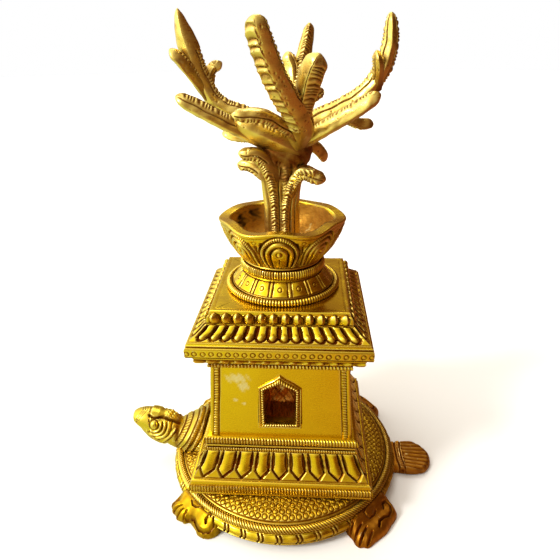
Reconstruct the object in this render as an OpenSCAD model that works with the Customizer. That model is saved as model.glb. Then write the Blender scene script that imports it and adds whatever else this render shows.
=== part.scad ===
// Brass altar stand: a tortoise carries a square shrine tower with a small niche,
// a wide petalled eave, a lotus bowl and a lift-off branching tree.
// Millimetres. The origin is under the middle of the tower, on the surface it stands on.
// +Z is up, the niche faces -Y and the tortoise looks along -X.

/* [Tortoise] */
// Outer radius of the tortoise's marginal rim
rim_r = 60.6; // [58:0.1:64]
// Height of the flat top of the shell, where the plinth stands
shell_top = 15.6; // [15:0.1:18]
// Thickness of the cast shell
shell_wall = 3; // [2:0.1:4]
// How far the snout reaches in front of the tower's axis
snout_reach = 83; // [80:0.1:84]
// How far the tail reaches behind the tower's axis
tail_reach = 81.4; // [80:0.1:84]

/* [Plinth] */
// Half width of the plinth at its ribbed base band
plinth_half = 43.4; // [42:0.1:45]
// Height of the ribbed base band
base_band_h = 8.4; // [7:0.1:10]
// Height of the petal course above the band
plinth_petal_h = 12.7; // [11:0.1:15]
// Height of the moulding between the petals and the tower
plinth_moulding_h = 7.9; // [7:0.1:10]

/* [Tower] */
// Half width of the tower at its foot
tower_half = 33.1; // [32:0.1:34]
// Half width of the tower under the cornice
tower_top_half = 31; // [30:0.1:32]
// Height of the tower's wall
tower_h = 36.6; // [34:0.1:40]
// Thickness of the cast walls and courses
wall = 3; // [2:0.1:3.5]

/* [Niche] */
// Half width of the niche's moulded frame
niche_half = 10; // [9:0.1:11]
// Height of the frame from its foot to its shoulders
niche_shoulder_h = 22.1; // [20:0.1:23]
// Height of the pointed part of the frame
niche_point_h = 7; // [5:0.1:8]
// Width of the frame's face
niche_frame_w = 2.9; // [2:0.1:4]
// Depth of the pocket behind the frame
niche_depth = 15; // [10:0.5:18]

/* [Cornice and roof] */
// Half width of the eave
eave_half = 40; // [38:0.1:42]
// Height of the ribbed band that caps the tower
tower_cap_h = 2.4; // [2:0.1:3]
// Height of the small petals under the eave
soffit_h = 7.8; // [7:0.1:9]
// Height of the eave's edge, with its bead row and step
eave_h = 6.2; // [5:0.1:8]
// Height of the sloping petal course above the eave
roof_petal_h = 5.9; // [5:0.1:7]
// Height of the upright lobes below the deck
roof_lobe_h = 5.8; // [5:0.1:7]
// Half width of the flat deck on top
deck_half = 30; // [29:0.1:31]

/* [Bowl] */
// Outer radius of the bowl's foot ring
foot_ring_r = 26.2; // [25:0.1:27]
// Outer radius of the ribbed waist
waist_r = 19.2; // [19:0.1:20]
// Outer radius of the bowl's rim
bowl_r = 28.8; // [28:0.1:30]
// Inner radius of the bowl at its lip
bowl_lip_r = 23; // [22:0.1:24]
// Height of the bowl above its waist
bowl_h = 17.4; // [16:0.1:19]

/* [Tree] */
// Half width of the trunk
trunk_half = 7.8; // [7:0.1:8.5]
// Width of the square tang below the trunk
tang_w = 8; // [7:0.1:9]
// Length of the tang
tang_h = 9.5; // [8:0.1:10]
// Gap all round the tang in its socket
tang_gap = 0.15; // [0.1:0.05:0.3]

/* [Tie rod] */
// Diameter of the rod that clamps the castings together
rod_d = 6; // [5:0.5:8]
// Width across the flats of its nut
nut_flats = 10; // [9:0.5:13]
// Height of the nut
nut_h = 5; // [4:0.5:7]

/* [Hidden] */
$fn = 64;

gold = [0.80, 0.66, 0.16];
worn_gold = [0.72, 0.56, 0.12];
dark_gold = [0.42, 0.26, 0.08];
steel = [0.62, 0.62, 0.64];

// Tortoise
shell_r = 55.5;
rim_bottom = 3.6;
rim_top = 9.4;
rope_r = 1.6;
foot_top = 7.6;
tail_bottom = 1.2;
tail_top = 4.6;
neck_root = plinth_half + 0.2;
shell_slope = [[shell_r, 11.4], [54, 12.9], [50.5, 14.2], [46, 15.1], [42, shell_top]];

// Heights of the stacked courses
plinth_petal_z = shell_top + base_band_h;
plinth_moulding_z = plinth_petal_z + plinth_petal_h;
tower_z = plinth_moulding_z + plinth_moulding_h;
cap_z = tower_z + tower_h;
soffit_z = cap_z + tower_cap_h;
eave_z = soffit_z + soffit_h;
roof_petal_z = eave_z + eave_h;
roof_lobe_z = roof_petal_z + roof_petal_h;
deck_z = roof_lobe_z + roof_lobe_h;
deck_t = 1.8;
foot_ring_z = deck_z;
foot_ring_h = 2.7;
bowl_foot_z = foot_ring_z + foot_ring_h;
bowl_foot_h = 6.3;
waist_z = bowl_foot_z + bowl_foot_h;
waist_h = 5.5;
bowl_z = waist_z + waist_h;
bowl_top = bowl_z + bowl_h;
bowl_floor = bowl_z + 5.7;

// Clearances for the tie rod and its nut
rod_r = rod_d / 2;
rod_hole_r = rod_r + 0.3;
thread_hole_r = rod_r + 0.05;
washer_t = 1.4;
washer_r = 9;
washer_z = shell_top - shell_wall - washer_t;
rod_bottom = washer_z - nut_h - 1.2;
socket_r = 8.6;
socket_flange_r = 11;
socket_flange_t = 1.8;
socket_top = bowl_floor + socket_flange_t;
socket_stem_z = waist_z - 6;
rod_top = waist_z + 0.6;
trunk_z = socket_top + 0.1;

tower_lean = atan((tower_half - tower_top_half) / tower_h);
niche_z = 4.5;

// Blends four values in a row so that a curve passes through the middle two
function through(a, b, c, d, t) =
    0.5 * (2 * b + (c - a) * t + (2 * a - 5 * b + 4 * c - d) * t * t
           + (3 * b - a - 3 * c + d) * t * t * t);

// A smooth run through the stations [x, y, z, half width, half thickness]
function smooth(s, steps) = [
    for (i = [0 : len(s) - 2], k = [0 : steps - 1])
        through(s[max(i - 1, 0)], s[i], s[i + 1], s[min(i + 2, len(s) - 1)], k / steps),
    s[len(s) - 1]
];

function place(v) = [v[0], v[1], v[2]];
function unit(v) = v / norm(v);

// One ring of a limb: an oval whose width lies along the side direction
function ring(s, i, side, sides) =
    let (
        along = unit(place(s[min(i + 1, len(s) - 1)]) - place(s[max(i - 1, 0)])),
        across = unit(side - (side * along) * along),
        over = cross(along, across)
    )
    [for (k = [0 : sides - 1])
        place(s[i]) + across * s[i][3] * cos(360 * k / sides) + over * s[i][4] * sin(360 * k / sides)];

// A tapering limb swept through its stations
module limb(stations, side, sides = 10, steps = 3) {
    s = smooth(stations, steps);
    rings = len(s);
    points = [for (i = [0 : rings - 1]) each ring(s, i, side, sides)];
    skin = [
        for (i = [0 : rings - 2], k = [0 : sides - 1])
            let (n = (k + 1) % sides, a = i * sides, b = a + sides)
            each [[a + k, b + k, b + n], [a + k, b + n, a + n]]
    ];
    root = [for (k = [0 : sides - 1]) k];
    tip = [for (k = [sides - 1 : -1 : 0]) (rings - 1) * sides + k];
    polyhedron(points, concat([root, tip], skin), convexity = 4);
}

// A leaf: a tongue that swells and closes in a blunt tip
module leaf(from, by, to, w, t, side) {
    limb([
        concat(from, [w * 0.75, t]),
        concat(by, [w, t]),
        concat((by + to * 2) / 3, [w * 0.95, t * 0.9]),
        concat(to, [w * 0.3, t * 0.3])
    ], side, 8, 2);
}

// A solid of square plan whose four sides all have the profile [half width, height]
module square_course(profile) {
    outline = concat(profile, [for (i = [len(profile) - 1 : -1 : 0]) [-profile[i][0], profile[i][1]]]);
    span = 2 * max([for (p = profile) p[0]]) + 2;
    intersection() {
        rotate([90, 0, 0]) linear_extrude(span, center = true) polygon(outline);
        rotate([90, 0, 90]) linear_extrude(span, center = true) polygon(outline);
    }
}

// A bulging edge between two heights, as [half width, height] points
function bulge(half, z0, z1, out, n = 8) = [
    for (i = [0 : n])
        let (a = 180 * i / n)
        [half + out * sin(a), (z0 + z1) / 2 - (z1 - z0) / 2 * cos(a)]
];

module square_hole(half, z0, z1) {
    translate([-half, -half, z0]) cube([2 * half, 2 * half, z1 - z0]);
}

module rod_hole(z0, z1) {
    translate([0, 0, z0]) cylinder(h = z1 - z0, r = rod_hole_r);
}

// Tortoise

module shell_blank() {
    rotate_extrude($fn = 96)
        polygon(concat([[0, 4.6], [shell_r, 4.6]], shell_slope, [[0, shell_top]]));
}

module rim_blank() {
    rotate_extrude($fn = 96)
        polygon([
            [shell_r, rim_bottom + 1], [rim_r - 2, rim_bottom], [rim_r - 0.3, rim_bottom + 1.4],
            [rim_r, rim_bottom + 3], [rim_r - 1, rim_top - 0.9], [rim_r - 2.6, rim_top],
            [shell_r, rim_top]
        ]);
}

module rope_blank() {
    rotate_extrude($fn = 96)
        intersection() {
            translate([shell_r + 1.4, rim_top + 0.8]) circle(r = rope_r, $fn = 24);
            translate([shell_r, rim_top]) square([4, 4]);
        }
}

module carapace() {
    color(gold) difference() {
        shell_blank();
        rotate_extrude($fn = 96)
            polygon([
                [0, 4], [shell_r - shell_wall, 4], [shell_r - shell_wall, 10], [50, 11.3],
                [45, 12.2], [41, shell_top - shell_wall], [0, shell_top - shell_wall]
            ]);
        rod_hole(shell_top - shell_wall - 1, shell_top + 1);
    }
}

module marginal_rim() {
    color(worn_gold) difference() {
        rim_blank();
        for (side = [-1, 1]) {
            scale([1, side, 1]) foot_blank(fore_foot_outline);
            scale([1, side, 1]) foot_blank(hind_foot_outline);
        }
        tail_blank();
    }
}

module rope_band() {
    color(worn_gold) rope_blank();
}

// The fore foot lies back along the rim with its toes towards the head
fore_foot_outline = [
    [-40, -30], [-49, -31.4], [-52.5, -34.5], [-54.8, -38.4], [-53, -42], [-49.6, -45.6],
    [-44.4, -47.2], [-41, -49.6], [-38.6, -53], [-34.3, -55.2], [-30.4, -54.2], [-27.6, -50.6],
    [-30, -42]
];

// The hind foot points out to the side with a rounded heel
hind_foot_outline = [
    [30, -42], [31.6, -47.6], [34.6, -53.4], [37, -57], [41.6, -57], [50.6, -49], [56.6, -41],
    [57, -37], [54.4, -31.6], [50, -28], [42, -30]
];

module foot_blank(outline) {
    linear_extrude(foot_top) polygon(outline);
}

module foot(outline, side) {
    color(gold) difference() {
        scale([1, side, 1]) foot_blank(outline);
        translate([0, 0, -1]) cylinder(h = foot_top + 2, r = shell_r, $fn = 96);
    }
}

module front_left_foot() { foot(fore_foot_outline, 1); }
module front_right_foot() { foot(fore_foot_outline, -1); }
module rear_left_foot() { foot(hind_foot_outline, 1); }
module rear_right_foot() { foot(hind_foot_outline, -1); }

// The head is lifted, and the neck widens to a collar that meets the shell and the plinth
module head_and_neck() {
    x0 = -snout_reach;
    color(gold) difference() {
        limb([
            [x0, 0, 25.6, 2.4, 1.6],
            [x0 + 1.6, 0, 25.2, 4.6, 4.2],
            [x0 + 6, 0, 22.6, 6.8, 6.4],
            [x0 + 12.4, 0, 19.4, 8.2, 9],
            [x0 + 18.4, 0, 16.8, 8.4, 8.8],
            [x0 + 23.6, 0, 14.8, 8.2, 7.4],
            [-55, 0, 14.4, 10.4, 6.4],
            [-49.6, 0, 16, 13.6, 7.8],
            [-neck_root, 0, 18, 16, 8.4]
        ], [0, 1, 0], 16, 2);
        shell_blank();
        rim_blank();
        rope_blank();
        translate([0, 0, rim_bottom])
            cylinder(h = rim_top - rim_bottom + 0.3, r = shell_r + 1, $fn = 96);
    }
}

// The tail is a flat fan with a rounded end
tail_outline = concat(
    [[50, 9], [62, 10.6], [69, 11.2]],
    [for (a = [55 : -11 : -55]) [tail_reach - 11.4 + 11.4 * cos(a), 11.6 * sin(a) - 0.6]],
    [[69, -11.4], [62, -11.2], [50, -9]]
);

module tail_blank() {
    translate([0, 0, tail_bottom]) linear_extrude(tail_top - tail_bottom) polygon(tail_outline);
}

module tail() {
    color(worn_gold) difference() {
        tail_blank();
        cylinder(h = 20, r = shell_r, $fn = 96);
    }
}

// Plinth

module plinth_base_band() {
    inner = plinth_half - 7;
    color(gold) difference() {
        square_course(concat(
            [[plinth_half - 1, shell_top], [plinth_half - 0.2, shell_top + 0.7]],
            bulge(plinth_half - 0.8, shell_top + 2.4, shell_top + 6.2, 0.8),
            [[plinth_half - 0.9, shell_top + 7.2], [plinth_half - 1.4, plinth_petal_z]]
        ));
        square_hole(inner, shell_top + wall, plinth_petal_z + 1);
        rod_hole(shell_top - 1, shell_top + wall + 1);
    }
}

module plinth_petal_course() {
    top_half = plinth_half - 7.4;
    color(gold) difference() {
        square_course([
            [plinth_half - 1.4, plinth_petal_z],
            [plinth_half - 2, plinth_petal_z + 0.9],
            [plinth_half - 4.6, plinth_petal_z + 5.4],
            [plinth_half - 6.4, plinth_petal_z + 9.4],
            [top_half, plinth_moulding_z]
        ]);
        square_hole(top_half - 3.6, plinth_petal_z - 1, plinth_moulding_z + 1);
    }
}

module plinth_moulding() {
    half = plinth_half - 8.8;
    color(gold) difference() {
        square_course(concat(
            [[half + 1.2, plinth_moulding_z], [half + 1.2, plinth_moulding_z + 1.6]],
            [[half, plinth_moulding_z + 1.9], [half, plinth_moulding_z + 2.6]],
            bulge(half - 0.8, plinth_moulding_z + 2.8, tower_z, 1.2)
        ));
        square_hole(half - 3.6, plinth_moulding_z - 1, tower_z - wall);
        rod_hole(tower_z - wall - 1, tower_z + 1);
    }
}

// Tower and niche

module tower_prism(foot_half, top_half, z0, z1) {
    translate([0, 0, z0]) rotate([0, 0, 45])
        cylinder(h = z1 - z0, r1 = foot_half * sqrt(2), r2 = top_half * sqrt(2), $fn = 4);
}

// Places its children on the leaning front wall, with x across and y up the wall
module on_front_wall() {
    translate([0, -tower_half, tower_z]) rotate([90 - tower_lean, 0, 0]) children();
}

// The pointed outline of the niche, inset by a distance
module niche_outline(inset) {
    half = niche_half - inset;
    foot = niche_z + inset;
    shoulder = niche_z + niche_shoulder_h - inset * 0.3;
    point = niche_z + niche_shoulder_h + niche_point_h - inset * 1.7;
    polygon([
        [-half, foot], [half, foot], [half, shoulder], [half * 0.62, shoulder + (point - shoulder) * 0.38],
        [half * 0.26, shoulder + (point - shoulder) * 0.68], [0, point],
        [-half * 0.26, shoulder + (point - shoulder) * 0.68],
        [-half * 0.62, shoulder + (point - shoulder) * 0.38], [-half, shoulder]
    ]);
}

module tower_body() {
    color(gold) difference() {
        tower_prism(tower_half, tower_top_half, tower_z, cap_z);
        tower_prism(tower_half - wall, tower_top_half - wall, tower_z - 0.01, cap_z + 0.01);
        on_front_wall() translate([0, 0, -wall * 2]) linear_extrude(wall * 3) niche_outline(0);
    }
}

module tower_corner_beading() {
    bead_w = 2.4;
    proud = 0.5;
    color(worn_gold) difference() {
        tower_prism(tower_half + proud, tower_top_half + proud, tower_z, cap_z);
        tower_prism(tower_half, tower_top_half, tower_z - 0.01, cap_z + 0.01);
        for (turn = [0, 90])
            rotate([0, 0, turn]) translate([0, 0, tower_z - 1])
                rotate([90, 0, 0]) linear_extrude(200, center = true)
                    polygon([
                        [bead_w - tower_half, 0], [tower_half - bead_w, 0],
                        [tower_top_half - bead_w, tower_h + 2], [bead_w - tower_top_half, tower_h + 2]
                    ]);
    }
}

module niche_frame() {
    color(gold) on_front_wall() difference() {
        translate([0, 0, -wall - 1]) linear_extrude(wall + 2.4) niche_outline(0);
        translate([0, 0, -wall - 2]) linear_extrude(wall + 6) niche_outline(niche_frame_w);
    }
}

module niche_pocket() {
    pocket_wall = 1.4;
    color(dark_gold) on_front_wall() difference() {
        translate([0, 0, -wall - 1 - niche_depth]) linear_extrude(niche_depth)
            niche_outline(niche_frame_w - pocket_wall);
        translate([0, 0, -wall - 1 - niche_depth + pocket_wall]) linear_extrude(niche_depth)
            niche_outline(niche_frame_w);
    }
}

module tower_cap_band() {
    color(worn_gold) difference() {
        square_course(concat(
            [[tower_top_half, cap_z]],
            bulge(tower_top_half + 0.4, cap_z, soffit_z, 0.7),
            [[tower_top_half, soffit_z]]
        ));
        rod_hole(cap_z - 1, soffit_z + 1);
    }
}

// Cornice and roof

module eave_soffit() {
    color(gold) difference() {
        square_course([
            [tower_top_half + 0.6, soffit_z], [tower_top_half + 2.6, soffit_z + 1.6],
            [tower_top_half + 5, soffit_z + 4.1], [tower_top_half + 5.4, soffit_z + 5.2],
            [eave_half - 2.6, soffit_z + 6.4], [eave_half - 2.6, eave_z]
        ]);
        square_hole(tower_top_half - wall, soffit_z + wall, eave_z + 1);
        rod_hole(soffit_z - 1, soffit_z + wall + 1);
    }
}

module eave_edge() {
    color(gold) difference() {
        square_course([
            [eave_half - 0.5, eave_z], [eave_half, eave_z + 0.7], [eave_half, eave_z + 4.2],
            [eave_half - 0.6, eave_z + 4.6], [eave_half - 0.6, eave_z + 5.6],
            [eave_half - 1, roof_petal_z]
        ]);
        square_hole(tower_top_half - wall, eave_z - 1, roof_petal_z + 1);
    }
}

module roof_petal_course() {
    color(gold) difference() {
        square_course([
            [eave_half - 1, roof_petal_z], [eave_half - 1.6, roof_petal_z + 1.4],
            [eave_half - 5, roof_petal_z + 3.6], [eave_half - 8.2, roof_lobe_z]
        ]);
        square_hole(tower_top_half - wall, roof_petal_z - 1, roof_lobe_z + 1);
    }
}

module roof_lobe_course() {
    color(gold) difference() {
        square_course([
            [eave_half - 8.2, roof_lobe_z], [deck_half + 1.5, roof_lobe_z + 0.8],
            [deck_half + 1, roof_lobe_z + 3], [deck_half + 0.5, deck_z - deck_t]
        ]);
        square_hole(tower_top_half - wall, roof_lobe_z - 1, deck_z + 1);
    }
}

module roof_deck() {
    color(gold) difference() {
        square_course([
            [deck_half + 0.3, deck_z - deck_t], [deck_half + 0.3, deck_z - 0.5], [deck_half, deck_z]
        ]);
        rod_hole(deck_z - deck_t - 1, deck_z + 1);
    }
}

// Bowl

module bowl_foot_ring() {
    color(worn_gold) difference() {
        rotate_extrude($fn = 96)
            polygon([
                [0, foot_ring_z], [foot_ring_r - 0.8, foot_ring_z], [foot_ring_r - 0.1, foot_ring_z + 0.7],
                [foot_ring_r, foot_ring_z + 1.3], [foot_ring_r - 0.4, foot_ring_z + 2.1],
                [foot_ring_r - 1.4, bowl_foot_z], [0, bowl_foot_z]
            ]);
        rod_hole(foot_ring_z - 1, bowl_foot_z + 1);
    }
}

module bowl_foot() {
    color(gold) difference() {
        rotate_extrude($fn = 96)
            polygon([
                [0, bowl_foot_z], [foot_ring_r - 2.4, bowl_foot_z], [foot_ring_r - 3, bowl_foot_z + 0.9],
                [waist_r - 1, waist_z - 0.6], [waist_r - 1.3, waist_z], [0, waist_z]
            ]);
        translate([0, 0, socket_stem_z]) cylinder(h = bowl_foot_h + 1, r = rod_r + 2.5);
        rod_hole(bowl_foot_z - 1, waist_z);
    }
}

module bowl_waist() {
    color(worn_gold) difference() {
        rotate_extrude($fn = 96)
            polygon(concat(
                [[0, waist_z]],
                bulge(waist_r - 1.4, waist_z, bowl_z, 1.4),
                [[0, bowl_z]]
            ));
        translate([0, 0, waist_z - 1]) cylinder(h = waist_h + 2, r = socket_r);
    }
}

module lotus_bowl() {
    color(gold) difference() {
        rotate_extrude($fn = 96)
            polygon([
                [0, bowl_z], [17.6, bowl_z], [20, bowl_z + 1.8], [23.6, bowl_z + 6.6],
                [26.4, bowl_z + 11.2], [bowl_r, bowl_top], [bowl_lip_r, bowl_top],
                [21.6, bowl_z + 12.4], [18.6, bowl_z + 8.2], [14.6, bowl_floor + 0.6],
                [12, bowl_floor], [0, bowl_floor]
            ]);
        translate([0, 0, bowl_z - 1]) cylinder(h = bowl_h, r = socket_r);
    }
}

module tree_socket() {
    color(worn_gold) difference() {
        union() {
            translate([0, 0, waist_z]) cylinder(h = bowl_floor - waist_z, r = socket_r);
            translate([0, 0, bowl_floor]) cylinder(h = socket_flange_t, r = socket_flange_r);
            translate([0, 0, socket_stem_z]) cylinder(h = 6, r = rod_r + 2.5);
        }
        square_hole(tang_w / 2 + tang_gap, socket_top - tang_h - 0.4, socket_top + 1);
        translate([0, 0, socket_stem_z - 1]) cylinder(h = rod_top - socket_stem_z + 1, r = thread_hole_r);
    }
}

// Tree, with heights counted from the trunk's shoulder

module on_bowl() {
    translate([0, 0, trunk_z]) children();
}

module trunk() {
    color(gold) on_bowl() {
        translate([-tang_w / 2, -tang_w / 2, -tang_h]) cube([tang_w, tang_w, tang_h + 1]);
        limb([
            [0, 0, 0, trunk_half + 0.4, trunk_half],
            [0, 0, 8.6, trunk_half, trunk_half - 0.4],
            [0, 0, 17.6, trunk_half, trunk_half - 0.6],
            [0, 0, 25.6, trunk_half + 1.2, trunk_half],
            [0.6, 0, 33.6, trunk_half + 2.8, trunk_half + 1.6],
            [1.6, 0, 40.6, trunk_half + 3.6, trunk_half + 2.4],
            [2, 0, 46.6, trunk_half + 1, trunk_half + 0.4],
            [2, 0, 49.6, 4, 4]
        ], [1, 0, 0], 16, 2);
    }
}

module left_branch() {
    color(gold) on_bowl() limb([
        [2, 0, 40.6, 5, 5],
        [-8, 0, 50.2, 4.6, 4.4],
        [-17, 0, 54.6, 4.2, 4],
        [-23.2, 0, 57, 4.2, 3.8],
        [-28.4, 0, 61.6, 4.2, 3.6],
        [-33.6, 0, 71.2, 4.2, 3.4],
        [-36.6, 0, 80.6, 4.2, 3],
        [-38.8, 0, 89.2, 3.2, 2.2],
        [-39.6, 0, 93.6, 1, 0.8]
    ], [0, 1, 0.2], 10, 2);
}

module right_branch() {
    color(gold) on_bowl() limb([
        [2, 0, 40.6, 5, 5],
        [9, 0, 49.2, 4.6, 4.4],
        [17, 0, 53.4, 4.2, 4],
        [26, 0, 57.6, 4, 3.8],
        [34, 0, 63, 4, 3.6],
        [40, 0, 70.6, 4, 3.4],
        [42.6, 0, 78.6, 3.8, 3],
        [42.8, 0, 85.6, 3, 2.4],
        [42, 0, 91, 1, 0.8]
    ], [0, 1, 0.2], 10, 2);
}

module front_branch() {
    color(gold) on_bowl() limb([
        [2, -2, 36.6, 6, 5],
        [6, -11, 42.6, 6.4, 4.6],
        [7.6, -19, 52.6, 6.4, 4.2],
        [4, -26, 62, 5.2, 3.8],
        [-0.3, -30, 70, 4.8, 3.4],
        [-3.4, -33.4, 78.2, 4.6, 3.2],
        [-5.4, -35.4, 85, 4, 2.6],
        [-6, -36, 89.2, 1.6, 1.2]
    ], [1, -0.2, 0.2], 10, 2);
}

module back_branch() {
    color(gold) on_bowl() limb([
        [2, 2, 38.6, 5.4, 5],
        [3.6, 12, 48.6, 5, 4.4],
        [5, 22, 59.6, 4.2, 3.8],
        [7.2, 28.4, 69, 3.8, 3.4],
        [9.4, 33, 78.6, 3.2, 3],
        [10.8, 35.6, 86, 2.2, 2],
        [11, 36, 89, 0.9, 0.8]
    ], [1, 0, 0], 10, 2);
}

module left_branch_leaves() {
    color(gold) on_bowl() {
        leaf([-29, 0, 60.6], [-37, -4.4, 73.2], [-42.6, -6, 79.2], 3.8, 2.6, [0.4, 1, 0]);
        leaf([-30, 0, 64.6], [-28.6, 4.6, 71.2], [-24.4, 6, 74], 3.4, 2.4, [0, 1, 0.6]);
        leaf([-4, -5, 42.6], [-24, -11, 54], [-40, -13.6, 62.8], 4.6, 3, [0, 1, 0.4]);
        leaf([-8, 0, 44.6], [-18.6, 2, 45], [-25.4, 4.4, 46.6], 3.6, 2.4, [0, 1, 0.4]);
    }
}

module right_branch_leaves() {
    color(gold) on_bowl() {
        leaf([38, 0, 63.6], [38, -4, 71.2], [36.8, -5.4, 78], 3.4, 2.4, [0, 1, 0]);
        leaf([8, -6, 43.6], [27.4, -12, 56], [38.4, -13.6, 63.2], 4.6, 3, [0, 1, 0.4]);
        leaf([22, 0, 54.6], [31.8, 2, 50.2], [38.4, 4.4, 49.8], 3.6, 2.4, [0, 1, 0.4]);
        leaf([8, 2, 44.6], [15.6, 9.6, 38.2], [19.4, 12.4, 32.8], 3.6, 2.6, [0, 1, 1]);
    }
}

module front_branch_leaves() {
    color(gold) on_bowl() {
        leaf([7.4, -17, 51.6], [11.4, -26.6, 68.6], [15, -30, 77.6], 4.4, 3, [1, -0.4, 0]);
        leaf([8, -12, 46.6], [-4, -20.4, 55.2], [-17, -24.4, 56.8], 4.2, 3, [0, 1, 1]);
    }
}

module back_branch_leaves() {
    color(gold) on_bowl() {
        leaf([5, 20, 57.6], [3.6, 26.4, 69.6], [1.2, 29, 77.2], 3.4, 2.4, [1, 0, 0]);
        leaf([5, 18, 54.6], [12.2, 24, 58.6], [17.6, 28, 61.6], 3.4, 2.4, [0, 1, 1]);
    }
}

module trunk_leaves() {
    color(gold) on_bowl() {
        leaf([-1, -6, 29.6], [-8, -9.6, 39], [-17, -11.4, 40.6], 3.4, 2.6, [0, 1, 1]);
        leaf([-6, 1, 26.6], [-13.4, 4, 31.8], [-20, 6, 32.6], 3.2, 2.4, [0, 1, 1]);
        leaf([3, -6, 23.6], [8.4, -9, 31.6], [18.4, -10.6, 29.8], 3.4, 2.6, [0, 1, 1]);
        leaf([1, 6, 26.6], [2, 12, 34.6], [0, 18, 37.2], 3.4, 2.4, [1, 0, 0]);
    }
}

// Tie rod

module tie_rod() {
    color(steel) translate([0, 0, rod_bottom]) cylinder(h = rod_top - rod_bottom, r = rod_r);
}

module tie_rod_nut() {
    color(steel) translate([0, 0, washer_z - nut_h]) difference() {
        cylinder(h = nut_h, r = nut_flats / sqrt(3), $fn = 6);
        translate([0, 0, -1]) cylinder(h = nut_h + 2, r = thread_hole_r);
    }
}

module tie_rod_washer() {
    color(steel) translate([0, 0, washer_z]) difference() {
        cylinder(h = washer_t, r = washer_r);
        translate([0, 0, -1]) cylinder(h = washer_t + 2, r = rod_hole_r);
    }
}

carapace();
marginal_rim();
rope_band();
head_and_neck();
tail();
front_left_foot();
front_right_foot();
rear_left_foot();
rear_right_foot();
plinth_base_band();
plinth_petal_course();
plinth_moulding();
tower_body();
tower_corner_beading();
niche_frame();
niche_pocket();
tower_cap_band();
eave_soffit();
eave_edge();
roof_petal_course();
roof_lobe_course();
roof_deck();
bowl_foot_ring();
bowl_foot();
bowl_waist();
lotus_bowl();
tree_socket();
trunk();
left_branch();
right_branch();
front_branch();
back_branch();
left_branch_leaves();
right_branch_leaves();
front_branch_leaves();
back_branch_leaves();
trunk_leaves();
tie_rod();
tie_rod_nut();
tie_rod_washer();
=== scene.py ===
"""Visual model of the brass altar stand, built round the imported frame.

Lengths inside the script are millimetres until a mesh is made; places and sizes come from the
frame's nodes, and ornament is worked out by formula on grids laid over each course.
"""
import math

import bmesh
import bpy
import numpy as np
from mathutils import Matrix, Vector


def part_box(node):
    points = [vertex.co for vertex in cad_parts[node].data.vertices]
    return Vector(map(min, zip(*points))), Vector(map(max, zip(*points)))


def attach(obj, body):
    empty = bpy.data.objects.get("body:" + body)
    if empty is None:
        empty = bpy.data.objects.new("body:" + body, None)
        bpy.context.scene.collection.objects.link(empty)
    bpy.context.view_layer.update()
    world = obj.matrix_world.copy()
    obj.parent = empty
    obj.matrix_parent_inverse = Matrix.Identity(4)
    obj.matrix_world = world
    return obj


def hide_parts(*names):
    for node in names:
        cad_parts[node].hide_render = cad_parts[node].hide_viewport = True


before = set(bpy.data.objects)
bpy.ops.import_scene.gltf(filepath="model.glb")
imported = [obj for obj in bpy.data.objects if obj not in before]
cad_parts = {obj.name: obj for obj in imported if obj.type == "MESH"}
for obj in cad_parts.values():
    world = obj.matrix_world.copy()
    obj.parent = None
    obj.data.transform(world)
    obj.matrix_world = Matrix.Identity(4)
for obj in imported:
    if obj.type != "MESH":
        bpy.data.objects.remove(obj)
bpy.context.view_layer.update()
MM = 0.001


# ---------------------------------------------------------------- frame sizes


def node_box(node):
    """Lowest and highest corner of a CAD node, in millimetres."""
    lo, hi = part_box(node)
    return np.array(lo) / MM, np.array(hi) / MM


def low(node):
    return float(node_box(node)[0][2])


def top(node):
    return float(node_box(node)[1][2])


def half(node):
    lo, hi = node_box(node)
    return float(hi[0] - lo[0]) / 2


def extent(node):
    """A node's half width, foot and top."""
    return half(node), low(node), top(node)


def put(name, data):
    """A new object in the scene."""
    thing = bpy.data.objects.new(name, data)
    bpy.context.scene.collection.objects.link(thing)
    return thing


# ---------------------------------------------------------------- camera, light and floor


# Where the photograph was taken from, in metres
EYE_PLACE = (0.01226, -0.21810, 0.21295)


def make_camera():
    """The photograph's view: close to the stand, a little to its right, looking down."""
    pan, tilt, roll = math.radians(-3.57), math.radians(25.21), math.radians(-0.72)
    ahead = Vector((math.sin(pan) * math.cos(tilt), math.cos(pan) * math.cos(tilt), -math.sin(tilt)))
    right = Vector((math.cos(pan), -math.sin(pan), 0))
    up = right.cross(ahead)
    across = math.cos(roll) * right + math.sin(roll) * up
    upward = -math.sin(roll) * right + math.cos(roll) * up
    data = bpy.data.cameras.new("camera")
    data.sensor_width = 36
    data.lens = 32.66
    data.clip_start = 0.01
    camera = put("camera", data)
    place = Matrix((across, upward, -ahead)).transposed().to_4x4()
    place.translation = Vector(EYE_PLACE)
    camera.matrix_world = place
    bpy.context.scene.camera = camera


def make_sun(name, toward, strength, spread, colour=(1, 1, 1)):
    """A soft light from a direction, as wide in the sky as its spread in degrees."""
    data = bpy.data.lights.new(name, "SUN")
    data.energy = strength
    data.angle = math.radians(spread)
    data.color = colour
    light = put(name, data)
    light.rotation_euler = Vector(toward).to_track_quat("Z", "Y").to_euler()


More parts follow.
